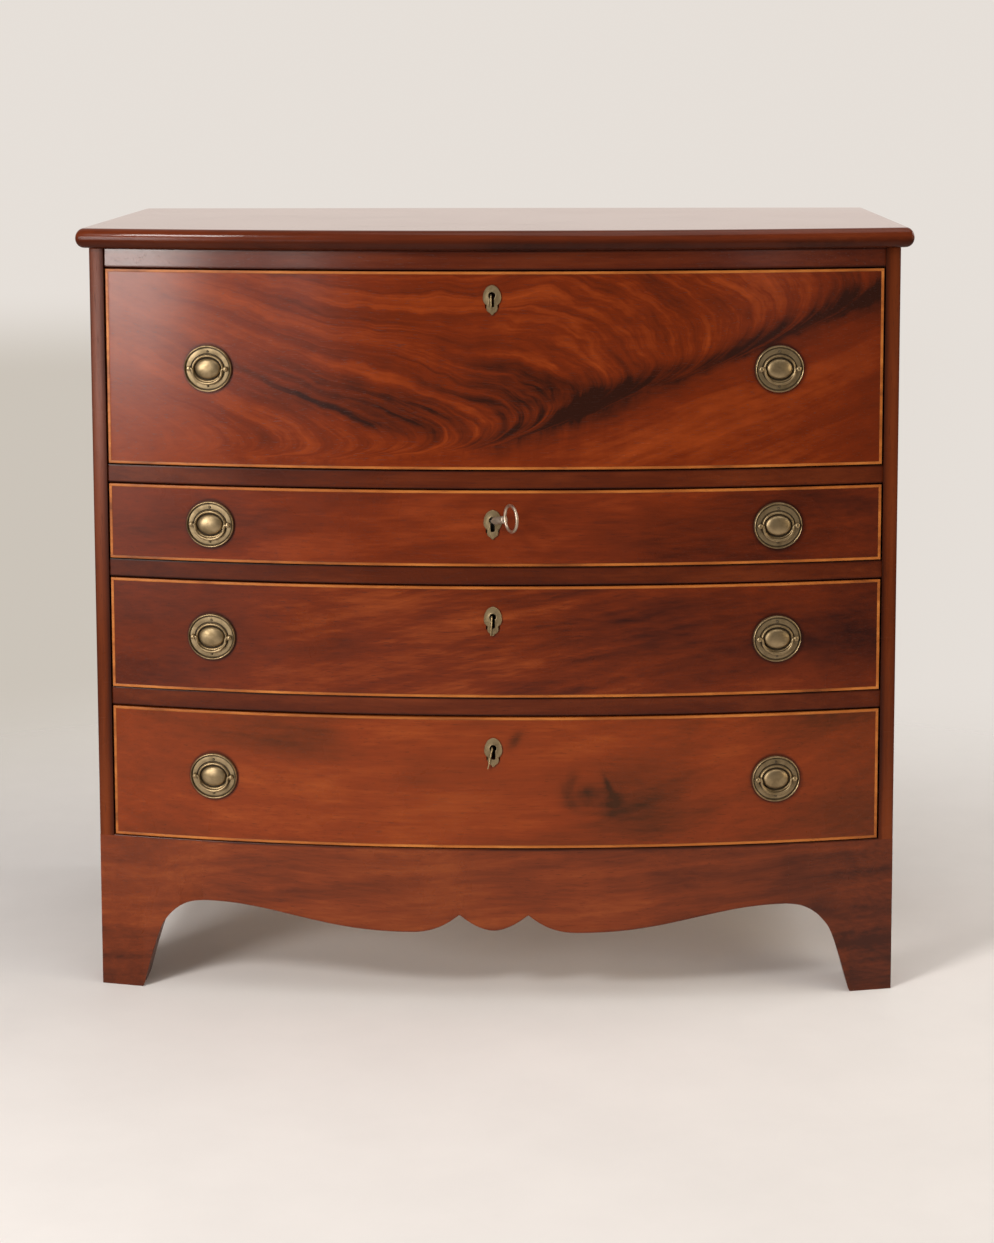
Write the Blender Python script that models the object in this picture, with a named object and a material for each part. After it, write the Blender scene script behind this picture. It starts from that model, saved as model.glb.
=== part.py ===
import math

import bmesh
import bpy
from mathutils import Matrix, Vector

# Bow-fronted secretary chest of drawers. Metres, +Z up, the front looks along -Y.

# Overall form
BODY_WIDTH = 0.980
BODY_DEPTH = 0.470
BOW_RISE = 0.056
TOP_THICK = 0.024
TOP_OVERHANG = 0.015
TOP_FRONT_OVERHANG = 0.014
TOP_BACK_OVERHANG = 0.004
TOP_STRIP = 0.003
TOP_STRIP_STEP = 0.0022

# Carcass boards
SIDE_THICK = 0.018
BACK_THICK = 0.010
BOTTOM_THICK = 0.018
FRIEZE_HEIGHT = 0.0237
FRIEZE_DEPTH = 0.070
RAIL_HEIGHT = 0.022
RAIL_SETBACK = 0.003
BASE_HEIGHT = 0.1916

# Fronts, from the desk fall down to the lowest drawer
FALL_HEIGHT = 0.237
FRONT_2_HEIGHT = 0.0916
FRONT_3_HEIGHT = 0.1355
FRONT_4_HEIGHT = 0.1615
FRONT_THICK = 0.022
REVEAL = 0.0015
FALL_REVEAL = 0.002
SIDE_REVEAL = 0.0025

# Apron and feet
APRON_THICK = 0.022
FOOT_BLOCK_DEPTH = 0.044
FOOT_BLOCK_WIDTH = 0.057
FOOT_WIDTH = 0.053
FOOT_SPLAY = 0.028
FOOT_KNEE = 0.086
ARCH_CROWN = 0.1156
ARCH_SHOULDER = 0.062
ARCH_LOW = 0.0861
CUSP_X = 0.042
LOBE_RUN = 0.063
CUSP_HEIGHT = 0.1088
CENTRE_LOBE = 0.0892
SIDE_FOOT = 0.070
SIDE_ARCH = 0.108

# Drawer boxes
DRAWER_SIDE = 0.010
DRAWER_BACK = 0.008
DRAWER_BOTTOM = 0.006
DRAWER_BOTTOM_RISE = 0.006
DRAWER_DROP = 0.010
BACK_ROOM = 0.010

# Desk drawer behind the fall
FALL_END_THICK = 0.018
HINGE_FORWARD = 0.004
HINGE_RISE = 0.016
FALL_LIP = 0.006
FALL_REBATE = 0.003
DESK_SIDE = 0.012
DESK_BACK = 0.010
DESK_FLOOR = 0.011
DESK_FLOOR_SET = 0.0145
DESK_NOTCH = 0.0185
HINGE_BARREL = 0.003
HINGE_LENGTH = 0.050
HINGE_LEAF = 0.042
HINGE_LEAF_THICK = 0.002
HINGE_FROM_END = 0.1695
STAY_RADIUS = 0.165
STAY_WIDTH = 0.012
STAY_THICK = 0.003
STAY_START = math.radians(88.2)
STAY_END = math.radians(-2.0)

# Pigeonholes and the two small drawers in them
CASE_SET = 0.205
CASE_HEIGHT = 0.200
CASE_BOARD = 0.008
CASE_PARTITION = 0.006
CASE_HOLES = 7
SMALL_ROW = 0.062
SMALL_WIDTH = 0.290
SMALL_WALL = 0.006
SMALL_KNOB = 0.006

# Brass oval handles
HANDLE_FROM_END = 0.1267
PLATE_WIDTH = 0.0575
PLATE_HEIGHT = 0.055
PLATE_RIM = 0.0036
BOSS_RISE = 0.0078
BOSS_RADIUS = 0.0132
BAIL_SPAN = 0.0180
BAIL_DROP = 0.0178
BAIL_WIRE = 0.00145
BAIL_STANDOFF = 0.0052
BAIL_BEND = 0.003
POST_X = 0.0228
POST_RADIUS = 0.0031
POST_BORE = 0.0018

# Keyholes, lock and key
SCUTCHEON_WIDTH = 0.022
SCUTCHEON_HEIGHT = 0.036
SCUTCHEON_THICK = 0.0018
KEYHOLE_RADIUS = 0.0040
KEYHOLE_SLOT = 0.0050
KEYHOLE_DROP = 0.0140
KEYHOLE_LIFT = 0.0055
POCKET_WIDTH = 0.0165
POCKET_RISE = 0.0127
POCKET_FALL = 0.0100
POCKET_DEPTH = 0.016
LOCK_WIDTH = 0.060
LOCK_HEIGHT = 0.062
LOCK_DEPTH = 0.0135
LOCK_WALL = 0.0016
BOLT_WIDTH = 0.026
BOLT_THICK = 0.006
BOLT_HEIGHT = 0.029
BOLT_TRAVEL = 0.007
KEY_SHANK = 0.0023
KEY_BARREL = 0.0038
KEY_NECK = 0.0052
KEY_REACH = 0.0529216
KEY_IN = 0.0125
KEY_LIFT = 0.0045
KEY_BOW_HIGH = 0.0157
KEY_BOW_LONG = 0.0145
KEY_WIRE = 0.0016
KEY_BIT = 0.0045
KEY_BIT_REACH = 0.0075
KEY_BIT_THICK = 0.0024
KEY_YAW = math.radians(30.5)
KEY_PITCH = math.radians(12.2)
KEYHOLE_1_DROP = 0.0335
KEYHOLE_2_DROP = 0.0410
KEYHOLE_3_DROP = 0.0420
KEYHOLE_4_DROP = 0.0427

# Running clearance between touching pieces
FIT = 0.0003
BOW_STEPS = 32

BOW_RADIUS = (BODY_WIDTH ** 2 / 4 + BOW_RISE ** 2) / (2 * BOW_RISE)
INNER_HALF = BODY_WIDTH / 2 - SIDE_THICK
FRONT_HALF = INNER_HALF - SIDE_REVEAL
FOOT_X = BODY_WIDTH / 2 - FOOT_WIDTH
HANDLE_X = FRONT_HALF - HANDLE_FROM_END
HINGE_X = FRONT_HALF - HINGE_FROM_END


def bow(x, inset=0.0):
    radius = BOW_RADIUS - inset
    return BOW_RADIUS - BOW_RISE - math.sqrt(radius ** 2 - x ** 2)


def bow_angle(x):
    return math.asin(x / BOW_RADIUS)


KEY_AHEAD = math.cos(KEY_YAW) * math.cos(KEY_PITCH)
KEY_LEAN = math.cos(KEY_YAW) * math.sin(KEY_PITCH)
KEY_BOW_REACH = math.hypot(KEY_BOW_LONG * KEY_AHEAD, KEY_BOW_HIGH * KEY_LEAN)
KEY_OUT = (KEY_REACH - KEY_WIRE - KEY_BOW_REACH) / KEY_AHEAD - KEY_BOW_LONG
FRONT_MOST = bow(0) - FIT - SCUTCHEON_THICK / 2 - KEY_REACH
BACK_MOST = BODY_DEPTH + TOP_BACK_OVERHANG
MIDDLE = (FRONT_MOST + BACK_MOST) / 2

# Heights of the fronts and rails, built up from the base
Z_FRONT_4 = BASE_HEIGHT + REVEAL
Z_RAIL_3 = Z_FRONT_4 + FRONT_4_HEIGHT + REVEAL
Z_FRONT_3 = Z_RAIL_3 + RAIL_HEIGHT + REVEAL
Z_RAIL_2 = Z_FRONT_3 + FRONT_3_HEIGHT + REVEAL
Z_FRONT_2 = Z_RAIL_2 + RAIL_HEIGHT + REVEAL
Z_RAIL_1 = Z_FRONT_2 + FRONT_2_HEIGHT + REVEAL
Z_FALL = Z_RAIL_1 + RAIL_HEIGHT + FALL_REVEAL
Z_FRIEZE = Z_FALL + FALL_HEIGHT + REVEAL
Z_TOP = Z_FRIEZE + FRIEZE_HEIGHT

Y_INSIDE_BACK = BODY_DEPTH - BACK_THICK
Y_BOX_BACK = Y_INSIDE_BACK - BACK_ROOM
Y_HINGE = bow(FRONT_HALF) + FALL_END_THICK - HINGE_FORWARD
Z_HINGE = Z_FALL + HINGE_RISE
Z_DESK = Z_HINGE + HINGE_FORWARD
DESK_HALF = FRONT_HALF - DESK_SIDE


def clear_scene():
    for old in list(bpy.data.objects):
        bpy.data.objects.remove(old, do_unlink=True)


def make_material(name, colour, roughness, metallic=0.0):
    material = bpy.data.materials.new(name)
    material.use_nodes = True
    shader = material.node_tree.nodes["Principled BSDF"]
    shader.inputs["Base Color"].default_value = (*colour, 1.0)
    shader.inputs["Roughness"].default_value = roughness
    shader.inputs["Metallic"].default_value = metallic
    return material


def add_object(name, mesh, material=None, parent=None, place=(0, 0, 0), turn=(0, 0, 0)):
    thing = bpy.data.objects.new(name, mesh)
    bpy.context.scene.collection.objects.link(thing)
    if material and not mesh.materials:
        mesh.materials.append(material)
    thing.parent = parent
    thing.location = place
    thing.rotation_euler = turn
    return thing


def add_empty(name, place, turn=(0, 0, 0), parent=None):
    empty = bpy.data.objects.new(name, None)
    bpy.context.scene.collection.objects.link(empty)
    empty.location = place
    empty.rotation_euler = turn
    empty.parent = parent
    return empty


def finish_mesh(name, work, smooth=False):
    bmesh.ops.recalc_face_normals(work, faces=work.faces[:])
    mesh = bpy.data.meshes.new(name)
    work.to_mesh(mesh)
    work.free()
    if smooth:
        mesh.shade_smooth()
        mesh.set_sharp_from_angle(angle=math.radians(38))
    return mesh


def extruded(name, outline, span, axis="Z"):
    """A flat outline drawn across an axis and pushed along it between the two ends of span."""
    work = bmesh.new()
    low, high = span
    place = {
        "X": lambda a, b: (low, a, b),
        "Y": lambda a, b: (a, low, b),
        "Z": lambda a, b: (a, b, low),
    }[axis]
    push = {"X": (1, 0, 0), "Y": (0, 1, 0), "Z": (0, 0, 1)}[axis]
    loop = [work.verts.new(place(a, b)) for a, b in outline]
    face = work.faces.new(loop)
    grown = bmesh.ops.extrude_face_region(work, geom=[face])
    moved = [item for item in grown["geom"] if isinstance(item, bmesh.types.BMVert)]
    bmesh.ops.translate(work, verts=moved, vec=Vector(push) * (high - low))
    return finish_mesh(name, work)


def block(name, low, high):
    outline = [(low[0], low[1]), (high[0], low[1]), (high[0], high[1]), (low[0], high[1])]
    return extruded(name, outline, (low[2], high[2]))


def turned(name, profile, steps, stretch=1.0):
    """A profile of (radius, height) pairs spun about -Y, then stretched sideways to an oval."""
    work = bmesh.new()
    chain = [work.verts.new((radius, -height, 0)) for radius, height in profile]
    edges = [work.edges.new(pair) for pair in zip(chain, chain[1:])]
    bmesh.ops.spin(
        work, geom=chain + edges, cent=(0, 0, 0), axis=(0, 1, 0), angle=math.tau, steps=steps,
        use_merge=True,
    )
    bmesh.ops.remove_doubles(work, verts=work.verts[:], dist=1e-6)
    bmesh.ops.scale(work, vec=(stretch, 1, 1), verts=work.verts[:])
    return finish_mesh(name, work, smooth=True)


def swept(name, path, radius, sides, closed=False):
    """A round wire of one radius along a path that lies in one plane through the X and Z axes."""
    work = bmesh.new()
    rings = []
    count = len(path)
    for index, point in enumerate(path):
        ahead = path[(index + 1) % count] if closed or index + 1 < count else point
        behind = path[index - 1] if closed or index else point
        along = (Vector(ahead) - Vector(behind)).normalized()
        across = along.cross(Vector((0, 1, 0))).normalized()
        ring = []
        for step in range(sides):
            angle = math.tau * step / sides
            offset = across * math.cos(angle) * radius
            offset += Vector((0, 1, 0)) * math.sin(angle) * radius
            ring.append(work.verts.new(Vector(point) + offset))
        rings.append(ring)
    pairs = list(zip(rings, rings[1:]))
    if closed:
        pairs.append((rings[-1], rings[0]))
    for one, two in pairs:
        for step in range(sides):
            after = (step + 1) % sides
            work.faces.new((one[step], one[after], two[after], two[step]))
    if not closed:
        work.faces.new(rings[0])
        work.faces.new(rings[-1])
    return finish_mesh(name, work, smooth=True)


def rod(name, radius, span, sides=16, axis="Y"):
    turn = {
        "X": Matrix.Rotation(math.pi / 2, 3, "Y"),
        "Y": Matrix.Rotation(math.pi / 2, 3, "X"),
        "Z": Matrix.Identity(3),
    }[axis]
    push = {"X": Vector((1, 0, 0)), "Y": Vector((0, 1, 0)), "Z": Vector((0, 0, 1))}[axis]
    work = bmesh.new()
    bmesh.ops.create_cone(
        work, cap_ends=True, segments=sides, radius1=radius, radius2=radius, depth=span[1] - span[0],
    )
    bmesh.ops.rotate(work, cent=(0, 0, 0), matrix=turn, verts=work.verts[:])
    bmesh.ops.translate(work, vec=push * (span[0] + span[1]) / 2, verts=work.verts[:])
    return finish_mesh(name, work, smooth=True)


def helper(mesh, parent=None):
    tool = add_object("cutter_" + mesh.name, mesh, parent=parent)
    tool.hide_render = True
    tool.display_type = "WIRE"
    return tool


def combine(target, mesh, operation="DIFFERENCE"):
    """Cut a shape out of an object, or weld it on, in the object's own frame."""
    tool = helper(mesh, target)
    change = target.modifiers.new(operation.title(), "BOOLEAN")
    change.operation = operation
    change.object = tool
    change.solver = "EXACT"
    return target


def settle(target):
    """Keep the modelled result as the object's own mesh, so that copies can share it."""
    graph = bpy.context.evaluated_depsgraph_get()
    result = bpy.data.meshes.new_from_object(target.evaluated_get(graph), depsgraph=graph)
    result.name = target.name + "_shape"
    target.modifiers.clear()
    for tool in list(target.children):
        bpy.data.objects.remove(tool, do_unlink=True)
    target.data = result
    return result


def bow_outline(half, front_inset, back):
    """Plan of a board with a bowed front edge and a straight or bowed back edge."""
    xs = [-half + 2 * half * step / BOW_STEPS for step in range(BOW_STEPS + 1)]
    front = [(x, bow(x, front_inset)) for x in xs]
    rear = [(x, back(x)) for x in reversed(xs)] if callable(back) else [(half, back), (-half, back)]
    return front + rear


def apron_edge(x):
    """Height of the apron's shaped lower edge at a distance from the middle."""
    x = abs(x)
    knee = FOOT_X - FOOT_SPLAY
    crown = knee - ARCH_SHOULDER
    low = CUSP_X + LOBE_RUN
    if x >= knee:
        return FOOT_KNEE * (1 - min(1, (x - knee) / FOOT_SPLAY) ** 1.25)
    if x >= crown:
        return ARCH_CROWN - (ARCH_CROWN - FOOT_KNEE) * ((x - crown) / ARCH_SHOULDER) ** 3
    if x >= low:
        share = ((x - low) / (crown - low)) ** 1.15
        return ARCH_LOW + (ARCH_CROWN - ARCH_LOW) * (1 - math.cos(math.pi * share)) / 2
    if x >= CUSP_X:
        return ARCH_LOW + (CUSP_HEIGHT - ARCH_LOW) * (1 - (x - CUSP_X) / LOBE_RUN) ** 2.4
    return CENTRE_LOBE + (CUSP_HEIGHT - CENTRE_LOBE) * (x / CUSP_X) ** 1.8


def apron_stations():
    knee = FOOT_X - FOOT_SPLAY
    crown = knee - ARCH_SHOULDER
    low = CUSP_X + LOBE_RUN
    spans = [(0, CUSP_X, 5), (CUSP_X, low, 6), (low, crown, 12), (crown, knee, 7), (knee, FOOT_X, 4)]
    xs = [a + (b - a) * step / count for a, b, count in spans for step in range(count)]
    return xs + [FOOT_X]


def side_arch():
    """Cut-out between the front and the rear foot of a side board, seen from the side."""
    low = SIDE_FOOT
    high = BODY_DEPTH - SIDE_FOOT
    middle = (low + high) / 2
    half = (high - low) / 2
    steps = 24
    outline = [(low, -BASE_HEIGHT)]
    for step in range(steps + 1):
        angle = math.pi * (1 - step / steps)
        run = math.copysign(abs(math.cos(angle)) ** 0.62, math.cos(angle))
        outline.append((middle + half * run, SIDE_ARCH * math.sin(angle) ** 0.62))
    outline.append((high, -BASE_HEIGHT))
    return outline


clear_scene()

MAHOGANY = make_material("polished_mahogany", (0.170, 0.034, 0.014), 0.28)
FLAME = make_material("flame_mahogany", (0.190, 0.040, 0.016), 0.25)
PINE = make_material("drawer_pine", (0.520, 0.330, 0.160), 0.62)
BRASS = make_material("aged_brass", (0.420, 0.300, 0.130), 0.32, 1.0)
IRON = make_material("lock_iron", (0.180, 0.170, 0.160), 0.45, 1.0)

chest = add_empty("chest", (0, -MIDDLE, 0))

# Carcass
steps_of_edge = 5
loops = [(TOP_STRIP_STEP, Z_TOP + TOP_THICK), (TOP_STRIP_STEP, Z_TOP + TOP_THICK - TOP_STRIP)]
round_height = (TOP_THICK - TOP_STRIP) / 2
for step in range(steps_of_edge + 1):
    angle = math.pi * step / steps_of_edge
    nose = round_height * (1 - math.sin(angle)) * 0.8
    loops.append((nose, Z_TOP + round_height + round_height * math.cos(angle)))
work = bmesh.new()
previous = None
for inset, height in loops:
    half = BODY_WIDTH / 2 + TOP_OVERHANG - inset
    plan = bow_outline(half, inset - TOP_FRONT_OVERHANG, BACK_MOST)
    ring = [work.verts.new((x, y, height)) for x, y in plan]
    if previous is None:
        work.faces.new(ring)
    else:
        for index in range(len(ring)):
            after = (index + 1) % len(ring)
            work.faces.new((previous[index], previous[after], ring[after], ring[index]))
    previous = ring
work.faces.new(previous)
bmesh.ops.remove_doubles(work, verts=work.verts[:], dist=1e-6)
add_object("top_board", finish_mesh("top_board", work, smooth=True), MAHOGANY, chest)

for side, sign in (("left", -1), ("right", 1)):
    outer = sign * BODY_WIDTH / 2
    inner = sign * INNER_HALF
    plan = [(outer, bow(outer)), (inner, bow(inner)), (inner, BODY_DEPTH), (outer, BODY_DEPTH)]
    name = "side_" + side
    board = add_object(name, extruded(name, plan, (0, Z_TOP - FIT)), MAHOGANY, chest)
    reach = sorted((outer + sign * SIDE_THICK, inner - sign * SIDE_THICK))
    combine(board, extruded(name + "_arch", side_arch(), reach, "X"))

rail_half = INNER_HALF - FIT
plan = bow_outline(rail_half, RAIL_SETBACK, FRIEZE_DEPTH)
frieze = extruded("frieze_rail", plan, (Z_FRIEZE, Z_TOP - FIT))
add_object("frieze_rail", frieze, MAHOGANY, chest)

dividers = {}
for number, height in ((1, Z_RAIL_1), (2, Z_RAIL_2), (3, Z_RAIL_3)):
    name = f"divider_{number}"
    plan = bow_outline(rail_half, RAIL_SETBACK, Y_INSIDE_BACK - FIT)
    board = extruded(name, plan, (height, height + RAIL_HEIGHT))
    dividers[number] = add_object(name, board, MAHOGANY, chest)

plan = bow_outline(rail_half, APRON_THICK + FIT, Y_INSIDE_BACK - FIT)
board = extruded("bottom_board", plan, (BASE_HEIGHT - BOTTOM_THICK, BASE_HEIGHT))
add_object("bottom_board", board, PINE, chest)

low = (-rail_half, Y_INSIDE_BACK, BASE_HEIGHT - BOTTOM_THICK)
high = (rail_half, BODY_DEPTH, Z_TOP - FIT)
add_object("back_panel", block("back_panel", low, high), PINE, chest)

plan = bow_outline(rail_half, 0, lambda x: bow(x, APRON_THICK))
apron = add_object("apron", extruded("apron", plan, (0, BASE_HEIGHT)), MAHOGANY, chest)
for sign in (-1, 1):
    near = sign * (INNER_HALF - FOOT_BLOCK_WIDTH)
    far = sign * rail_half
    depth = bow(far, FOOT_BLOCK_DEPTH)
    plan = [(near, bow(near, APRON_THICK / 2)), (far, bow(far, APRON_THICK / 2))]
    plan += [(far, depth), (near, depth)]
    corner = extruded(f"foot_block_{sign}", plan, (0, BASE_HEIGHT - BOTTOM_THICK - FIT))
    combine(apron, corner, "UNION")
xs = apron_stations()
edge = [(-x, apron_edge(x)) for x in reversed(xs)] + [(x, apron_edge(x)) for x in xs[1:]]
edge = [(edge[0][0], -BASE_HEIGHT)] + edge + [(edge[-1][0], -BASE_HEIGHT)]
combine(apron, extruded("apron_arch", edge, (-BODY_DEPTH, BODY_DEPTH), "Y"))


# Brass handles: one plate and one bail shape, shared by all eight
def plate_profile():
    rim = PLATE_HEIGHT / 2
    dome = [(BOSS_RADIUS * math.sin(a), a) for a in (0.5, 0.95, 1.35)]
    profile = [(0, BOSS_RISE)]
    profile += [(r, 0.001 + (BOSS_RISE - 0.001) * math.cos(a) ** 0.8) for r, a in dome]
    profile += [
        (BOSS_RADIUS + 0.0006, 0.0011),
        (rim - 0.0032, 0.0020),
        (rim - 0.0018, PLATE_RIM),
        (rim - 0.0005, PLATE_RIM - 0.0008),
        (rim, 0),
        (0, 0),
    ]
    return profile


plate = add_object("plate_form", turned("plate_form", plate_profile(), 24, PLATE_WIDTH / PLATE_HEIGHT))
for sign in (-1, 1):
    post = rod(f"post_{sign}", POST_RADIUS, (-BAIL_STANDOFF - POST_RADIUS * 0.8, -0.0006), 10)
    post.transform(Matrix.Translation((sign * POST_X, 0, 0)))
    combine(plate, post, "UNION")
for sign in (-1, 1):
    ends = sorted((sign * (POST_X - 2 * POST_RADIUS), sign * (POST_X + POST_RADIUS * 0.55)))
    bore = rod(f"bore_{sign}", POST_BORE, ends, 10, "X")
    bore.transform(Matrix.Translation((0, -BAIL_STANDOFF, 0)))
    combine(plate, bore)
plate_mesh = settle(plate)
bpy.data.objects.remove(plate, do_unlink=True)
plate_mesh.materials.append(BRASS)

bail_ear = POST_X - POST_RADIUS - FIT
bail_turn = BAIL_SPAN + (bail_ear - BAIL_SPAN) * 0.3
bail_path = [(-POST_X - POST_RADIUS * 0.3, 0, 0), (-bail_ear, 0, 0)]
bail_path.append((-bail_turn, 0, -BAIL_BEND * 0.3))
bends = 14
for step in range(bends + 1):
    angle = math.pi * step / bends
    drop = BAIL_BEND + (BAIL_DROP - BAIL_BEND) * math.sin(angle)
    bail_path.append((-BAIL_SPAN * math.cos(angle), 0, -drop))
bail_path.append((bail_turn, 0, -BAIL_BEND * 0.3))
bail_path += [(bail_ear, 0, 0), (POST_X + POST_RADIUS * 0.3, 0, 0)]
bail_mesh = swept("bail_form", bail_path, BAIL_WIRE, 7)
bail_mesh.materials.append(BRASS)


def add_handles(row, middle, parent, base):
    """A plate and its bail at each end of a front. The bail's origin lies on its pivot."""
    for side, sign in (("left", -1), ("right", 1)):
        x = sign * HANDLE_X
        turn = bow_angle(x)
        out = Vector((math.sin(turn), -math.cos(turn), 0))
        seat = Vector((x, bow(x), middle)) + out * FIT
        pivot = seat + out * BAIL_STANDOFF
        add_object(f"plate_{row}_{side}", plate_mesh, None, parent, seat - base, (0, 0, turn))
        add_object(f"bail_{row}_{side}", bail_mesh, None, parent, pivot - base, (0, 0, turn))


def scutcheon_outline():
    steps = 36
    outline = []
    for step in range(steps):
        angle = math.tau * step / steps
        lobe = (1 + 0.045 * math.cos(8 * angle)) / 1.045
        run, rise = math.sin(angle), math.cos(angle)
        x = SCUTCHEON_WIDTH / 2 * math.copysign(abs(run) ** 0.80, run) * lobe
        z = SCUTCHEON_HEIGHT / 2 * math.copysign(abs(rise) ** 0.85, rise) * lobe
        outline.append((x, z))
    return outline


scutcheon = add_object("scutcheon_form", extruded(
    "scutcheon_form", scutcheon_outline(), (-SCUTCHEON_THICK, 0), "Y"))
through = (-2 * SCUTCHEON_THICK, SCUTCHEON_THICK)
keyhole = rod("keyhole_round", KEYHOLE_RADIUS, through, 20)
keyhole.transform(Matrix.Translation((0, 0, KEYHOLE_LIFT)))
combine(scutcheon, keyhole)
low = (-KEYHOLE_SLOT / 2, through[0], KEYHOLE_LIFT - KEYHOLE_DROP)
combine(scutcheon, block("keyhole_slot", low, (KEYHOLE_SLOT / 2, through[1], KEYHOLE_LIFT)))
scutcheon_mesh = settle(scutcheon)
bpy.data.objects.remove(scutcheon, do_unlink=True)
scutcheon_mesh.materials.append(BRASS)


def add_keyhole(front, row, height, depth, parent, base):
    """Pocket behind the keyhole in the wood, and the brass plate that covers it."""
    local = Vector((0, bow(0), height)) - base
    low = local + Vector((-POCKET_WIDTH / 2, -FRONT_THICK / 2, -POCKET_FALL))
    high = local + Vector((POCKET_WIDTH / 2, depth, POCKET_RISE))
    combine(front, block(f"pocket_{row}", low, high))
    seat = local + Vector((0, -FIT, 0))
    add_object(f"escutcheon_{row}", scutcheon_mesh, None, parent, seat)


# Three long drawers
fronts = (
    (2, Z_FRONT_2, FRONT_2_HEIGHT, KEYHOLE_2_DROP),
    (3, Z_FRONT_3, FRONT_3_HEIGHT, KEYHOLE_3_DROP),
    (4, Z_FRONT_4, FRONT_4_HEIGHT, KEYHOLE_4_DROP),
)
holders = {}
drawer_fronts = {}
for number, z, tall, drop in fronts:
    seat = Vector((0, bow(0), z))
    holder = add_empty(f"drawer_{number}", seat, parent=chest)
    holders[number] = holder
    name = f"drawer_{number}_front"
    plan = bow_outline(FRONT_HALF, 0, lambda x: bow(x, FRONT_THICK))
    shape = extruded(name, plan, (z, z + tall))
    shape.transform(Matrix.Translation(-seat))
    drawer_fronts[number] = add_object(name, shape, MAHOGANY, holder)
    add_keyhole(drawer_fronts[number], number, z + tall - drop, 2 * FRONT_THICK, holder, seat)
    add_handles(number, z + tall / 2, holder, seat)
    foot = z - REVEAL + FIT
    rim = z + tall - DRAWER_DROP
    y_side = bow(FRONT_HALF, FRONT_THICK) + FIT
    inside = FRONT_HALF - DRAWER_SIDE
    panel = foot + DRAWER_BOTTOM_RISE
    pieces = {
        "left": block("b", (-FRONT_HALF, y_side, foot), (-inside, Y_BOX_BACK, rim)),
        "right": block("b", (inside, y_side, foot), (FRONT_HALF, Y_BOX_BACK, rim)),
        "back": block(
            "b",
            (-inside + FIT, Y_BOX_BACK - DRAWER_BACK, panel + DRAWER_BOTTOM + FIT),
            (inside - FIT, Y_BOX_BACK, rim),
        ),
        "bottom": extruded(
            "b",
            bow_outline(inside - FIT, FRONT_THICK + FIT, Y_BOX_BACK),
            (panel, panel + DRAWER_BOTTOM),
        ),
    }
    for part, shape in pieces.items():
        shape.name = f"drawer_{number}_{part}"
        shape.transform(Matrix.Translation(-seat))
        add_object(shape.name, shape, PINE, holder)

# Lock, bolt and key of the second drawer
z_top_2 = Z_FRONT_2 + FRONT_2_HEIGHT
z_key = z_top_2 - KEYHOLE_2_DROP
base = holders[2].location
y_lock = bow(0, FRONT_THICK) - LOCK_DEPTH
mortise_low = Vector((-LOCK_WIDTH / 2 - FIT, y_lock - FIT, z_top_2 - LOCK_HEIGHT - FIT)) - base
mortise_high = Vector((LOCK_WIDTH / 2 + FIT, BODY_DEPTH, z_top_2 + REVEAL)) - base
mortise_high.y = bow(0, FRONT_THICK) + FRONT_THICK - base.y
combine(drawer_fronts[2], block("lock_mortise", mortise_low, mortise_high))
low = Vector((-LOCK_WIDTH / 2, y_lock, z_top_2 - LOCK_HEIGHT)) - base
high = Vector((LOCK_WIDTH / 2, y_lock + LOCK_DEPTH, z_top_2)) - base
case = add_object("lock_case", block("lock_case", low, high), IRON, holders[2])
low = low + Vector((LOCK_WALL, -LOCK_WALL, LOCK_WALL))
high = high - Vector((LOCK_WALL, LOCK_WALL, LOCK_WALL))
combine(case, block("lock_inside", low, high))
y_bolt = y_lock + LOCK_DEPTH - LOCK_WALL - FIT - BOLT_THICK
bolt_low = Vector((-BOLT_WIDTH / 2, y_bolt, z_top_2 - FIT - BOLT_HEIGHT)) - base
bolt_high = Vector((BOLT_WIDTH / 2, y_bolt + BOLT_THICK, z_top_2 - FIT)) - base
bolt_seat = Vector((0, y_bolt + BOLT_THICK / 2, z_top_2)) - base
bolt = block("lock_bolt", bolt_low, bolt_high)
bolt.transform(Matrix.Translation(-bolt_seat))
add_object("lock_bolt", bolt, BRASS, holders[2], bolt_seat)
room = Vector((FIT, FIT, 0))
slot_top = bolt_high + room + Vector((0, 0, LOCK_WALL))
combine(case, block("bolt_slot", bolt_low - room, slot_top))
socket_low = bolt_low + base - room
socket_low.z = Z_RAIL_1 - FIT
socket_high = bolt_high + base + room
socket_high.z = z_top_2 + BOLT_TRAVEL + FIT
combine(dividers[1], block("bolt_socket", socket_low, socket_high))

key_seat = Vector((0, bow(0) - FIT - SCUTCHEON_THICK / 2, z_key + KEY_LIFT)) - base
shank_out = KEY_OUT + KEY_WIRE / 2
key = add_object("key", rod("key", KEY_SHANK, (-shank_out, KEY_IN), 16), IRON, holders[2], key_seat)
bow_path = []
for step in range(22):
    angle = math.tau * step / 22
    bow_path.append((KEY_BOW_LONG * math.cos(angle), 0, KEY_BOW_HIGH * math.sin(angle)))
ring = swept("key_bow", bow_path, KEY_WIRE, 7, closed=True)
ring.transform(Matrix.Translation((0, -KEY_OUT - KEY_BOW_LONG, 0)) @ Matrix.Rotation(math.pi / 2, 4, "Z"))
combine(key, ring, "UNION")
barrel = rod("key_barrel", KEY_BARREL, (-KEY_OUT * 0.96, -KEY_NECK), 16)
combine(key, barrel, "UNION")
low = (-KEY_BIT_THICK / 2, KEY_IN - KEY_BIT, -KEY_BIT_REACH)
combine(key, block("key_bit", low, (KEY_BIT_THICK / 2, KEY_IN - FIT, 0)), "UNION")
key.rotation_euler = (-KEY_PITCH, 0, KEY_YAW)

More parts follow.
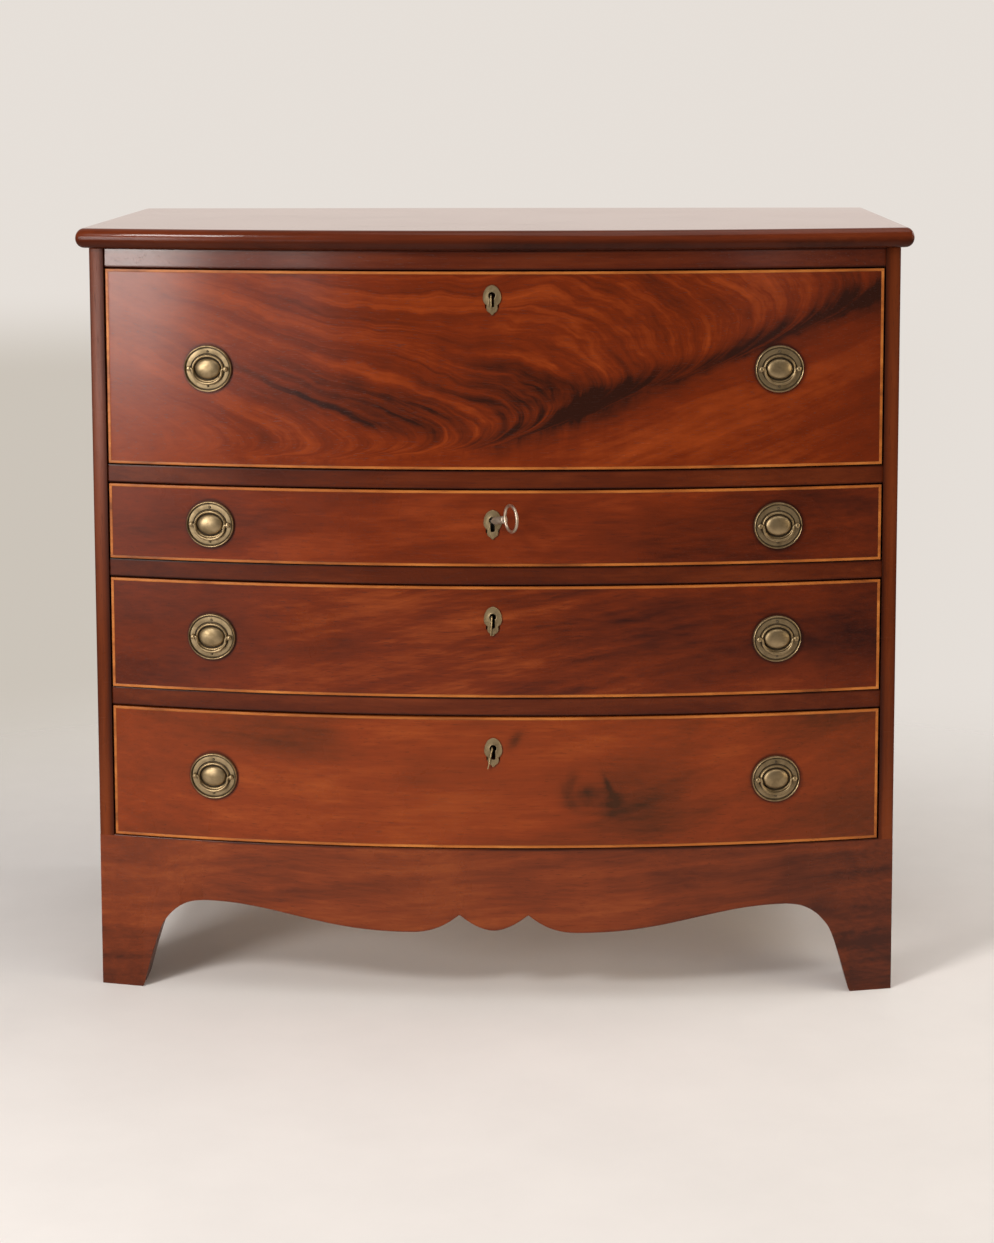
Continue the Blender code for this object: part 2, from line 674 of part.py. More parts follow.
# Desk drawer: the box that slides, then the fall hinged to its floor
desk_seat = Vector((0, Y_HINGE, Z_HINGE))
desk = add_empty("desk_drawer", desk_seat, parent=chest)
z_foot = Z_RAIL_1 + RAIL_HEIGHT + FIT
z_rim = Z_FALL + FALL_HEIGHT
y_face = Y_HINGE + HINGE_FORWARD
y_notch = Y_HINGE + DESK_NOTCH
z_notch = Z_DESK + HINGE_FORWARD / 4
for side, sign in (("left", -1), ("right", 1)):
    outline = [(y_notch, z_foot), (Y_BOX_BACK, z_foot), (Y_BOX_BACK, z_rim)]
    outline += [(y_face + FIT, z_rim), (y_face + FIT, z_notch), (y_notch, z_notch)]
    span = sorted((sign * FRONT_HALF, sign * DESK_HALF))
    shape = extruded("desk_side_" + side, outline, span, "X")
    shape.transform(Matrix.Translation(-desk_seat))
    add_object("desk_side_" + side, shape, MAHOGANY, desk)

floor_half = DESK_HALF - FIT
stay_half = DESK_HALF - 2 * STAY_THICK
slot_front = Y_HINGE + STAY_RADIUS - STAY_WIDTH
slot_back = Y_HINGE + STAY_RADIUS + STAY_WIDTH
y_floor = Y_HINGE + DESK_FLOOR_SET
right_edge = [(floor_half, y_floor), (floor_half, slot_front), (stay_half, slot_front)]
right_edge += [(stay_half, slot_back), (floor_half, slot_back), (floor_half, Y_BOX_BACK)]
plan = right_edge + [(-x, y) for x, y in reversed(right_edge)]
shape = extruded("desk_floor", plan, (Z_DESK - DESK_FLOOR, Z_DESK))
shape.transform(Matrix.Translation(-desk_seat))
desk_floor = add_object("desk_floor", shape, MAHOGANY, desk)

low = Vector((-floor_half, Y_BOX_BACK - DESK_BACK, Z_DESK + FIT))
shape = block("desk_back", low - desk_seat, Vector((floor_half, Y_BOX_BACK, z_rim)) - desk_seat)
add_object("desk_back", shape, PINE, desk)

fall = add_empty("fall", (0, 0, 0), parent=desk)
plan = bow_outline(FRONT_HALF, 0, y_face)
shape = extruded("fall_front", plan, (Z_FALL, z_rim))
shape.transform(Matrix.Translation(-desk_seat))
fall_front = add_object("fall_front", shape, FLAME, fall)
plan = bow_outline(FRONT_HALF + SIDE_REVEAL, FALL_LIP, y_face + FALL_LIP)
rebate = extruded("fall_rebate", plan, (Z_FALL - FALL_REBATE, Z_FALL + FALL_REBATE))
rebate.transform(Matrix.Translation(-desk_seat))
combine(fall_front, rebate)
add_keyhole(fall_front, 1, z_rim - KEYHOLE_1_DROP, POCKET_DEPTH, fall, desk_seat)
add_handles(1, Z_FALL + FALL_HEIGHT / 2, fall, desk_seat)

barrel_room = HINGE_BARREL + 2 * FIT
for side, sign in (("left", -1), ("right", 1)):
    x = sign * HINGE_X
    name = "fall_hinge_" + side
    half = HINGE_LENGTH / 2
    hinge = add_object(name, rod(name, HINGE_BARREL, (-half, half), 16, "X"), BRASS, desk, (x, 0, 0))
    leaf_top = HINGE_FORWARD
    leaf_back = DESK_FLOOR_SET + HINGE_LEAF
    low = (-half, 0, leaf_top - HINGE_LEAF_THICK)
    combine(hinge, block(name + "_leaf", low, (half, leaf_back, leaf_top)), "UNION")
    low = (x - half - FIT, DESK_FLOOR_SET - FIT, leaf_top - HINGE_LEAF_THICK - FIT)
    high = (x + half + FIT, leaf_back + FIT, leaf_top + HINGE_LEAF_THICK)
    combine(desk_floor, block(name + "_seat", low, high))
    low = (x - half - FIT, -barrel_room, -HINGE_RISE - FALL_REBATE)
    high = (x + half + FIT, 2 * HINGE_FORWARD, HINGE_FORWARD + FIT)
    combine(fall_front, block(name + "_recess", low, high))

inner = STAY_RADIUS - STAY_WIDTH / 2
outer = STAY_RADIUS + STAY_WIDTH / 2
steps = 20
angles = [STAY_START + (STAY_END - STAY_START) * step / steps for step in range(steps + 1)]
arc = [(outer * math.cos(a), outer * math.sin(a)) for a in angles]
arc += [(inner * math.cos(a), inner * math.sin(a)) for a in reversed(angles)]
for side, sign in (("left", -1), ("right", 1)):
    near = DESK_HALF - STAY_THICK / 3
    span = sorted((sign * near, sign * (near - STAY_THICK)))
    add_object("stay_" + side, extruded("stay_" + side, arc, span, "X"), BRASS, fall)

# Pigeonholes and two small drawers at the back of the desk
case_half = stay_half - 2 * FIT
y_case = Y_HINGE + CASE_SET
y_case_back = Y_BOX_BACK - DESK_BACK - FIT
z_case = Z_DESK + FIT
low = Vector((-case_half, y_case, z_case)) - desk_seat
high = Vector((case_half, y_case_back, z_case + CASE_HEIGHT)) - desk_seat
pigeonholes = add_object("pigeonhole_case", block("pigeonhole_case", low, high), MAHOGANY, desk)
room_back = y_case_back - CASE_BOARD
z_row = z_case + CASE_BOARD
z_shelf = z_row + SMALL_ROW
inside = case_half - CASE_BOARD
bay = inside - SMALL_WIDTH
bays = [(-inside, -bay), (-bay + CASE_PARTITION, bay - CASE_PARTITION), (bay, inside)]
for index, (x0, x1) in enumerate(bays):
    low = Vector((x0, y_case - CASE_BOARD, z_row)) - desk_seat
    high = Vector((x1, room_back, z_shelf)) - desk_seat
    combine(pigeonholes, block(f"bay_{index}", low, high))
hole = (2 * inside - (CASE_HOLES - 1) * CASE_PARTITION) / CASE_HOLES
for index in range(CASE_HOLES):
    x0 = -inside + index * (hole + CASE_PARTITION)
    low = Vector((x0, y_case - CASE_BOARD, z_shelf + CASE_PARTITION)) - desk_seat
    high = Vector((x0 + hole, room_back, z_case + CASE_HEIGHT - CASE_BOARD)) - desk_seat
    combine(pigeonholes, block(f"hole_{index}", low, high))

knob_profile = [(0, 0.014), (SMALL_KNOB * 0.75, 0.0125), (SMALL_KNOB, 0.009), (SMALL_KNOB * 0.7, 0.006)]
knob_profile += [(SMALL_KNOB * 0.45, 0.003), (SMALL_KNOB * 0.6, -0.001), (0, -0.001)]
for side, sign in (("left", -1), ("right", 1)):
    name = "small_drawer_" + side
    x_middle = sign * (inside - SMALL_WIDTH / 2)
    seat = Vector((x_middle, y_case, z_row)) - desk_seat
    half = SMALL_WIDTH / 2 - 2 * FIT
    deep = room_back - y_case - FIT
    tall = SMALL_ROW - 3 * FIT
    box = add_object(name, block(name, (-half, 0, FIT), (half, deep, tall)), MAHOGANY, desk, seat)
    low = (-half + SMALL_WALL, 2 * SMALL_WALL, SMALL_WALL)
    combine(box, block(name + "_inside", low, (half - SMALL_WALL, deep - SMALL_WALL, SMALL_ROW)))
    knob = turned(name + "_knob", knob_profile, 16)
    knob.transform(Matrix.Translation((0, 0, tall / 2)))
    combine(box, knob, "UNION")
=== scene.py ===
import math

import bmesh
import bpy
from mathutils import Matrix, Vector


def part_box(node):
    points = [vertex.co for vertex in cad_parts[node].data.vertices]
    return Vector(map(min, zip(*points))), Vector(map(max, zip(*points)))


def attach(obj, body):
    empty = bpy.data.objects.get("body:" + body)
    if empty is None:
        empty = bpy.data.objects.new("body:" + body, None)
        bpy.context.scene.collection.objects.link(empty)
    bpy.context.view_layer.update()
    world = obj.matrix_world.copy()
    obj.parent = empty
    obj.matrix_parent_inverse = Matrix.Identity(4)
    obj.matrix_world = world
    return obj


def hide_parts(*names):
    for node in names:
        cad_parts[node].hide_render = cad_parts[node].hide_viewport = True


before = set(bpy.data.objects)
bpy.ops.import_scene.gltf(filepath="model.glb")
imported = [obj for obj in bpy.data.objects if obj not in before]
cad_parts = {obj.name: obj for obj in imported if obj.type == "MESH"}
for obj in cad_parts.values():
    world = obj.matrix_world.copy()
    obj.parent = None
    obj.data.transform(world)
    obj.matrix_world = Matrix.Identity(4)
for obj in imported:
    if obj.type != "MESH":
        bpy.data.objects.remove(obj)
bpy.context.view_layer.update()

scene = bpy.context.scene
scene.view_settings.view_transform = "Standard"
print("frame loaded:", len(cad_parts), "nodes")

# values that several pieces share
quarter = math.pi / 2
hands = (("left", -1), ("right", 1))
drawers = (2, 3, 4)
rowBody = {1: "fall", 2: "drawer_2", 3: "drawer_3", 4: "drawer_4"}
handleRows = {1: 0.7757, 2: 0.5859, 3: 0.44735, 4: 0.27385}  # heights
handleReach = 0.3428
keyholes = {1: 0.8607, 2: 0.5907, 3: 0.4731, 4: 0.3119}  # heights


def spin(degrees, axis):
    return Matrix.Rotation(math.radians(degrees), 4, axis)


def hang(name, data):
    item = bpy.data.objects.new(name, data)
    scene.collection.objects.link(item)
    return item


# camera at the photo's angle, image taken as 994 x 1243
cameraLook = {
    "focal": 2487.1,  # pixels
    "imageWide": 994,
    "sensor": 36,
    "place": (0.08545, -3.17535, 1.11602),
    "pitch": 6.0,
    "turn": 1.553,
    "roll": -0.149,
    "shift": -0.2783,
}
camera = hang("camera", bpy.data.cameras.new("camera"))
camera.data.sensor_fit = "HORIZONTAL"
camera.data.sensor_width = cameraLook["sensor"]
camera.data.lens = cameraLook["focal"] / cameraLook["imageWide"] * cameraLook["sensor"]
camera.data.shift_y = cameraLook["shift"]
camera.location = cameraLook["place"]
camera.rotation_euler = (spin(cameraLook["turn"], "Z") @ spin(90 - cameraLook["pitch"], "X")
                         @ spin(cameraLook["roll"], "Z")).to_euler()
scene.camera = camera


# node helpers
def feed(tree, socket, value):
    value = getattr(value, "socket", value)
    if isinstance(value, bpy.types.NodeSocket):
        tree.links.new(value, socket)
    else:
        socket.default_value = value


def put(tree, kind, inputs=None, **settings):
    node = tree.nodes.new(kind)
    for key, value in settings.items():
        setattr(node, key, value)
    for key, value in (inputs or {}).items():
        feed(tree, node.inputs[key], value)
    return node


class Amount:
    # a number inside a node tree: arithmetic on it places Math nodes
    def __init__(self, tree, socket):
        self.tree = tree
        self.socket = socket

    def math(self, operation, *others):
        node = put(self.tree, "ShaderNodeMath", operation=operation)
        for socket, value in zip(node.inputs, (self, *others)):
            feed(self.tree, socket, value)
        return Amount(self.tree, node.outputs[0])

    def __add__(self, other):
        return self.math("ADD", other)

    def __sub__(self, other):
        return self.math("SUBTRACT", other)

    def __mul__(self, other):
        return self.math("MULTIPLY", other)

    def __neg__(self):
        return self.math("MULTIPLY", -1.0)

    def floor(self, value):
        return self.math("MAXIMUM", value)

    def clip(self):
        return self.floor(0.0).math("MINIMUM", 1.0)

    def fade(self, start, end, low=0.0, high=1.0):
        node = put(self.tree, "ShaderNodeMapRange", {
            "Value": self, "From Min": start, "From Max": end, "To Min": low, "To Max": high},
            interpolation_type="SMOOTHSTEP")
        return Amount(self.tree, node.outputs[0])

    def bell(self):
        return (-(self * self)).math("EXPONENT")

    def hump(self, middle, width):
        return ((self - middle) * (1 / width)).bell()


def axesOf(tree, vector):
    parts = put(tree, "ShaderNodeSeparateXYZ", {"Vector": vector})
    return [Amount(tree, output) for output in parts.outputs]


def vectorOf(tree, x=0.0, y=0.0, z=0.0):
    return put(tree, "ShaderNodeCombineXYZ", {"X": x, "Y": y, "Z": z}).outputs[0]


def lengthOf(a, b):
    return (a * a + b * b).math("SQRT")


def noiseAt(tree, x, y, z, detail=3.0, rough=0.55, distortion=0.0):
    node = put(tree, "ShaderNodeTexNoise", {
        "Vector": vectorOf(tree, x, y, z), "Scale": 1.0, "Detail": detail,
        "Roughness": rough, "Distortion": distortion})
    return Amount(tree, node.outputs["Fac"])


def swing(tree, *noise):
    # noise about zero
    return noiseAt(tree, *noise) - 0.5


def mask(tree, name):
    # a value kept on a piece's vertices
    return Amount(tree, put(tree, "ShaderNodeAttribute", attribute_name=name).outputs["Fac"])


def mixColour(tree, share, *colours):
    first, second = [(*c, 1.0) if isinstance(c, tuple) else c for c in colours]
    return put(tree, "ShaderNodeMix", {0: share, 6: first, 7: second},
               data_type="RGBA").outputs[2]


def rampColour(tree, value, colours):
    node = put(tree, "ShaderNodeValToRGB", {"Fac": value})
    elements = node.color_ramp.elements
    elements.new(0.5)
    for index, (element, colour) in enumerate(zip(elements, colours)):
        element.position = index / 2
        element.color = (*colour, 1.0)
    return node.outputs["Color"]


def startGroup(name, inputs, outputs):
    tree = bpy.data.node_groups.new(name, "ShaderNodeTree")
    tree.interface.new_socket("Vector", in_out="INPUT", socket_type="NodeSocketVector")
    for label, value in inputs.items():
        socket = tree.interface.new_socket(label, in_out="INPUT", socket_type="NodeSocketFloat")
        socket.default_value = value
    for label in outputs:
        tree.interface.new_socket(label, in_out="OUTPUT", socket_type="NodeSocketFloat")
    given = put(tree, "NodeGroupInput").outputs
    amounts = [Amount(tree, given[label]) for label in inputs]
    return tree, axesOf(tree, given["Vector"]), amounts, put(tree, "NodeGroupOutput").inputs


def startMaterial(name, **constants):
    material = bpy.data.materials.new(name)
    material.use_nodes = True
    tree = material.node_tree
    shader = tree.nodes["Principled BSDF"]
    for key, value in constants.items():
        shader.inputs[key.replace("_", " ")].default_value = value
    coords = put(tree, "ShaderNodeTexCoord").outputs["Object"]
    return material, tree, shader, coords


def place(tree, group, inputs):
    node = put(tree, "ShaderNodeGroup", inputs, node_tree=group)
    return {socket.name: Amount(tree, socket) for socket in node.outputs}


def endMaterial(tree, shader, inputs, relief):
    bump = put(tree, "ShaderNodeBump", relief)
    for key, value in {**inputs, "Normal": bump.outputs[0]}.items():
        feed(tree, shader.inputs[key], value)


# wood grain running along X of the vector it is given
grainGroup, (gx, gy, gz), (along, across, wander, seed), result = startGroup(
    "woodGrain", {"Along": 1.4, "Across": 14.0, "Wander": 0.02, "Seed": 0.0},
    ["Bands", "Fibre", "Pores"])
drift = swing(grainGroup, gx * 3.1 + seed, gy * 7.0, gz * 7.0, 2.0) * wander
wy, wz = gy + drift, gz + drift
bands = noiseAt(grainGroup, gx * along + seed, wy * across, wz * across, 4.0, 0.6)
fibre = noiseAt(grainGroup, gx * 9.0 + seed, wy * 240.0, wz * 240.0, 4.0, 0.62)
pores = noiseAt(grainGroup, gx * 60.0 + seed, wy * 900.0, wz * 900.0, 2.0, 0.5)
feed(grainGroup, result["Bands"], bands)
feed(grainGroup, result["Fibre"], fibre)
feed(grainGroup, result["Pores"], pores.fade(0.60, 0.72))

# rubbed patches and smears that dull a polish
wearGroup, (wx, wy, wz), (size,), result = startGroup(
    "handledWear", {"Scale": 6.0}, ["Smear", "Scuff"])
smear = noiseAt(wearGroup, wx * size, wy * size, wz * size, 5.0, 0.6, 0.6)
scuff = noiseAt(wearGroup, wx * (size * 5), wy * (size * 5), wz * (size * 34), 3.0, 0.6)
feed(wearGroup, result["Smear"], smear.fade(0.35, 0.72))
feed(wearGroup, result["Scuff"], scuff.fade(0.60, 0.78))

woodSet = {"smears": 5.0, "poreShade": 0.45, "edgeShade": 0.9, "edgeWorn": 0.65,
           "ring": 0.0296, "ringWide": 0.0018, "ringShade": 0.6, "paintedNoseShade": 0.15,
           "relief": 0.0006, "grimeAndShade": (0.010, 0.004, 0.003)}


def mahogany(name, look, figure=None):
    material, tree, shader, coords = startMaterial(
        name, Specular_IOR_Level=look.get("gloss", 0.22), Coat_Roughness=0.05)
    s = woodSet
    turned = put(tree, "ShaderNodeMapping", {
        "Vector": coords, "Rotation": look.get("turn", (0, 0, 0))}).outputs[0]
    grain = place(tree, grainGroup, {
        "Vector": turned, "Along": look.get("along", 1.4), "Across": look.get("across", 14.0),
        "Wander": look.get("wander", 0.02), "Seed": look["seed"]})
    wear = place(tree, wearGroup, {"Vector": coords, "Scale": s["smears"]})
    tone = (grain["Bands"] - 0.5) * look.get("bands", 1.3) + 0.5
    tone = tone + (grain["Fibre"] - 0.5) * look.get("fibre", 0.5)
    if figure:
        tone = figure(tree, *axesOf(tree, coords), tone)
    if "coat" in look:  # full polish on the flat of the top, less on its edge, where the tone is also darkened as painted shade on the nose
        polishAndShade = mask(tree, "polishAndShade")
        tone = tone + (polishAndShade - 1.0) * s["paintedNoseShade"]
        feed(tree, shader.inputs["Coat Weight"], polishAndShade * look["coat"])
    colour = rampColour(tree, tone, (look["deep"], look["body"], look["glow"]))
    colour = mixColour(tree, grain["Pores"] * s["poreShade"], colour, look["deep"])
    # the hollow value darkens edges: grime, and painted shade along the gaps between boards and
    # under the top's nose
    dirtAndShade = mask(tree, "hollow") * wear["Smear"].fade(0.0, 1.0, s["edgeWorn"], 1.0)
    colour = mixColour(tree, dirtAndShade * s["edgeShade"], colour, s["grimeAndShade"])
    if "plateZ" in look:  # grime and painted contact shade round the two handle plates
        px, py, pz = axesOf(tree, coords)
        away = lengthOf(px.math("ABSOLUTE") - handleReach, pz - look["plateZ"])
        dirtAndShade = away.hump(s["ring"], s["ringWide"]) * s["ringShade"]
        colour = mixColour(tree, dirtAndShade, colour, s["grimeAndShade"])
    rough = grain["Pores"] * 0.12 + wear["Smear"] * 0.07 + wear["Scuff"] * 0.05
    endMaterial(tree, shader, {
        "Base Color": colour, "Roughness": rough + look.get("rough", 0.26)}, {
        "Height": grain["Fibre"] * 0.6 - grain["Pores"],
        "Strength": look.get("relief", 0.05), "Distance": s["relief"]})
    return material


# flame veneer of the secretary front: barbs run right, then hook back along a slanting arm
flameLook = {
    "deep": (0.024, 0.006, 0.003), "body": (0.140, 0.018, 0.0028),
    "glow": (0.335, 0.055, 0.0080), "bands": 0.15, "fibre": 0.20, "seed": 2.0, "rough": 0.20,
    "armX": -0.02, "armLow": 0.667, "armSlope": 0.195, "armRound": 0.05,
    "hookOpen": 0.03, "hookTight": 0.045, "plateZ": handleRows[1],
    "bandX": -0.21, "bandZ": 0.729, "bandSlope": 0.235, "arm": 0.52, "band": 0.46, "eye": 0.62,
}


def flameFigure(tree, x, y, z, tone):
    look = flameLook
    wobble = swing(tree, x * 7.0, 4.0, z * 11.0)
    ripple = swing(tree, x * 21.0, 2.0, z * 26.0)
    run = x - look["armX"]
    arm = (run * run + look["armRound"] ** 2).math("SQRT") + run
    lift = z - arm * look["armSlope"] - look["armLow"] + wobble * 0.022 + ripple * 0.006
    above = lift.floor(0.0015)
    hook = (above * (1 / look["hookOpen"])).math("LOGARITHM", math.e) * -look["hookTight"]
    hook = hook + x + above * x.fade(-0.30, 0.15, 2.7, 1.35) + wobble * 0.035 + ripple * 0.010
    broad = swing(tree, hook * 17.0, lift * 5.0, 3.7, 4.0, 0.58)
    middle = swing(tree, hook * 56.0, lift * 10.0, 8.4, 3.0, 0.6, 0.3)
    fine = swing(tree, hook * 160.0, lift * 24.0, 1.7, 4.0, 0.6)
    feather = broad * 0.78 + (middle * 0.92 + fine * 0.48) * x.fade(-0.40, 0.10, 0.50, 1.0)
    plain = swing(tree, lift * 30.0, x * 3.0, 6.2, 4.0)
    plain = plain + swing(tree, lift * 140.0, x * 9.0, 2.9) * 0.5
    mottle = swing(tree, x * 30.0, 7.0, z * 44.0, 4.0, 0.62)
    upper = lift.fade(-0.010, 0.012)
    calm = x.fade(-0.46, -0.26, 0.35, 1.0)
    streak = (feather * upper + plain * (-upper + 1.0) * 0.62 + mottle * 0.34) * calm
    patchy = noiseAt(tree, x * 9.0, lift * 14.0, 5.5).fade(0.22, 0.62, 0.35, 1.0)
    thick = x.hump(0.16, 0.07) * 0.010 + x.fade(0.28, 0.42, 0.012, 0.020)
    core = (lift - 0.010).math("DIVIDE", thick).bell() * patchy * x.fade(-0.08, 0.13)
    tongue = swing(tree, x * 17.0 + z * 9.0, 1.0, z * 13.0, 3.0, 0.55, 0.4)
    below = z - look["bandZ"] + (x - look["bandX"]) * look["bandSlope"] + tongue * 0.062
    band = below.fade(-0.014, 0.004) * below.fade(0.072, 0.010) * x.hump(-0.16, 0.125)
    band = band * (middle * -1.5 + 0.85).clip()
    eye = x.hump(0.035, 0.095) * z.hump(0.738, 0.046) * (middle * -2.2 + 0.4).clip()
    shade = core * look["arm"] + band * look["band"] + eye * look["eye"]
    warm = lift.fade(0.0, -0.05) * x.hump(0.24, 0.16) * 0.13
    # painted light at the left end and painted shade at the right end, as lit from the left
    ends = x.fade(0.40, 0.47) * 0.05 - x.fade(-0.24, -0.42) * 0.12
    return tone + streak - shade + warm - ends


flame = mahogany("flameVeneer", flameLook, flameFigure)

# drawer veneers: plainer cuts, each with its own marks
drawerLooks = {
    2: {"deep": (0.038, 0.007, 0.003), "body": (0.142, 0.0195, 0.0036),
        "glow": (0.300, 0.050, 0.010), "bands": 0.8, "fibre": 0.45, "seed": 11.0,
        "across": 9.0, "along": 2.6},
    3: {"deep": (0.024, 0.005, 0.003), "body": (0.132, 0.019, 0.0036),
        "glow": (0.330, 0.066, 0.013), "bands": 0.6, "fibre": 0.40, "seed": 23.0,
        "across": 10.0, "along": 2.0},
    4: {"deep": (0.042, 0.012, 0.0030), "body": (0.195, 0.030, 0.0048),
        "glow": (0.370, 0.078, 0.013), "bands": 0.4, "fibre": 0.40, "seed": 37.0,
        "across": 8.0, "along": 1.6},
}
drawerGloss = 0.18
marks = {"knotX": 0.113, "knotZ": 0.260, "spotX": 0.0265, "spotZ": 0.327}


def slantStreak(tree, x, slant, width, run, layer):
    return swing(tree, slant * width, x * run, layer, 4.0, 0.62)


def drawerFigure2(tree, x, y, z, tone):
    patch = swing(tree, x * 5.0, 9.0, z * 15.0, 4.0, 0.6)
    streak = slantStreak(tree, x, z - x * 0.16 + patch * 0.02, 58.0, 5.0, 1.3)
    # painted shade: darker towards the right end, as lit from the left
    return tone + patch * 0.95 + streak * 0.45 - x.fade(0.06, 0.42) * 0.30


def drawerFigure3(tree, x, y, z, tone):
    patch = swing(tree, x * 5.0, 2.0, z * 13.0, 4.0, 0.6)
    streak = slantStreak(tree, x, z - x * 0.20 + patch * 0.03, 58.0, 4.5, 4.4)
    # darker upper right: the veneer's dark patch and painted shade, as lit from the left; painted
    # shade at the right end; a darker left end
    dark = x.fade(-0.12, 0.22) * z.fade(0.390, 0.450) * 0.28 + x.fade(0.30, 0.47) * 0.08
    dark = dark + x.fade(-0.28, -0.46) * 0.14
    return tone + patch + streak * x.hump(0.04, 0.28) * 1.35 - dark


def drawerFigure4(tree, x, y, z, tone):
    patch = swing(tree, x * 4.0, 6.0, z * 10.0, 4.0, 0.6)
    warp = swing(tree, x * 55.0, 3.0, z * 55.0)
    across = x - marks["knotX"] + warp * 0.012
    up = z - marks["knotZ"] - warp * 0.010
    ring = lengthOf(across, up)
    eye = ring.hump(0.0, 0.040)
    bend = (x + 0.10) * (x + 0.10)
    flow = z - bend * 0.45 - up * eye * 0.80 + patch * 0.045
    streak = swing(tree, flow * 44.0, x * 4.0, 7.7, 4.0, 0.64)
    cloudy = swing(tree, x * 3.2, 8.0, z * 5.0, 3.0, 0.5, 0.6)
    broken = noiseAt(tree, across * 90.0, 5.0, up * 90.0, 3.0, 0.6).fade(0.30, 0.66, 0.7, 1.0)
    knot = ring.hump(0.024, 0.009) * across.fade(-0.002, -0.018) * up.fade(-0.026, -0.012) * 0.28
    knot = knot + ring.hump(0.0, 0.013) * 0.36
    knot = knot + across.hump(0.031, 0.014) * up.hump(-0.008, 0.020) * 0.29
    tail = (across + up * 0.42).hump(0.0305, 0.0036) * up.hump(0.013, 0.012)
    knot = (knot + tail * 0.30) * broken + eye * 0.06
    knot = knot + across.hump(0.078, 0.066) * up.hump(-0.028, 0.044) * 0.34
    spotZ = z - marks["spotZ"]
    spot = lengthOf(x - marks["spotX"] - spotZ * 0.5, spotZ * 0.62).hump(0.0, 0.0068)
    cloud = x.hump(-0.27, 0.16) * z.fade(0.27, 0.34) * 0.12
    # painted shade at the right end, as lit from the left; the left end darker too
    ends = x.fade(0.24, 0.45) * 0.32 + x.fade(-0.30, -0.46) * 0.14
    tone = tone + patch * 0.65 + cloudy * 0.80 + streak * 0.45
    return tone - knot - spot * 0.38 - cloud - ends


veneers = {}
for number, figure in zip(drawers, (drawerFigure2, drawerFigure3, drawerFigure4)):
    look = {**drawerLooks[number], "gloss": drawerGloss, "plateZ": handleRows[number]}
    veneers[number] = mahogany(f"drawerVeneer{number}", look, figure)

railLook = {"deep": (0.026, 0.005, 0.003), "body": (0.083, 0.0138, 0.0036), "gloss": 0.16,
            "glow": (0.165, 0.031, 0.0075), "seed": 5.0, "across": 22.0, "along": 4.0}
friezeLook = {**railLook, "body": (0.094, 0.015, 0.004), "gloss": 0.34, "rough": 0.20,
              "seed": 6.0}
sideLook = {"deep": (0.032, 0.007, 0.003), "body": (0.084, 0.0158, 0.0040),
            "glow": (0.160, 0.033, 0.0085), "seed": 7.0, "gloss": 0.09,
            "turn": (0, quarter, 0), "across": 9.0, "along": 1.2}
topLook = {"deep": (0.045, 0.009, 0.004), "body": (0.120, 0.021, 0.006),
           "glow": (0.200, 0.042, 0.012), "seed": 13.0, "across": 9.0, "rough": 0.20,
           "gloss": 0.10, "coat": 1.0}
apronLook = {"deep": (0.045, 0.009, 0.003), "body": (0.165, 0.029, 0.006),
             "glow": (0.300, 0.068, 0.014), "seed": 17.0, "across": 13.0, "along": 2.6,
             "wander": 0.07, "bands": 0.8}
insideLook = {"deep": (0.075, 0.019, 0.008), "body": (0.190, 0.052, 0.018),
              "glow": (0.300, 0.095, 0.034), "seed": 19.0, "across": 16.0, "rough": 0.40}
pineLook = {"deep": (0.230, 0.115, 0.042), "body": (0.430, 0.255, 0.115),
            "glow": (0.560, 0.375, 0.190), "seed": 29.0, "across": 30.0, "rough": 0.60,
            "gloss": 0.25, "bands": 1.6, "relief": 0.12}
backLook = {**pineLook, "deep": (0.120, 0.060, 0.026), "body": (0.255, 0.138, 0.062),
            "glow": (0.345, 0.212, 0.112), "turn": (0, quarter, 0), "seed": 31.0}
stringLook = {"deep": (0.120, 0.028, 0.006), "body": (0.370, 0.105, 0.017),
              "glow": (0.560, 0.195, 0.040), "seed": 41.0, "across": 40.0, "along": 9.0,
              "bands": 1.7, "fibre": 0.6, "rough": 0.34}


def apronFigure(tree, x, y, z, tone):
    patch = swing(tree, x * 6.0, 1.0, z * 12.0, 4.0, 0.6)
    streak = slantStreak(tree, x, z - x * 0.09 + patch * 0.035, 72.0, 3.2, 2.2)
    foot = z.fade(0.100, 0.0) * x.fade(0.40, -0.40, 0.02, 0.38)
    # painted shade: the right half darker, as lit from the left; the bottom of the feet darker,
    # the left more
    return tone + patch * 0.80 + streak * 0.75 - foot - x.fade(0.0, 0.44) * 0.30


def sideFigure(tree, x, y, z, tone):
    # painted shadow along the inner edge, painted highlight down the middle and painted shade on
    # the outer arris of the front edge; paler foot
    patch = swing(tree, x * 4.0, y * 9.0, z * 3.0, 4.0, 0.6)
    across = x.math("ABSOLUTE")
    paintedStileShading = across.hump(0.4830, 0.0035) * 0.16 - across.fade(0.4785, 0.4720) * 0.55
    paintedStileShading = (paintedStileShading - across.fade(0.4870, 0.4900) * 0.20) * y.fade(-0.168, -0.174)
    foot = z.fade(0.34, 0.18) * y.fade(-0.12, -0.15) * 0.30
    return tone + patch * 0.7 + foot + paintedStileShading * z.fade(0.16, 0.20)


railWood = mahogany("railMahogany", railLook)
friezeWood = mahogany("friezeMahogany", friezeLook)
sideWood = mahogany("sideMahogany", sideLook, sideFigure)
topWood = mahogany("topMahogany", topLook)
apronWood = mahogany("apronMahogany", apronLook, apronFigure)
insideWood = mahogany("deskMahogany", insideLook)
drawerPine = mahogany("drawerPine", pineLook)
backPine = mahogany("backPine", backLook)
stringWood = mahogany("boxwoodString", stringLook)


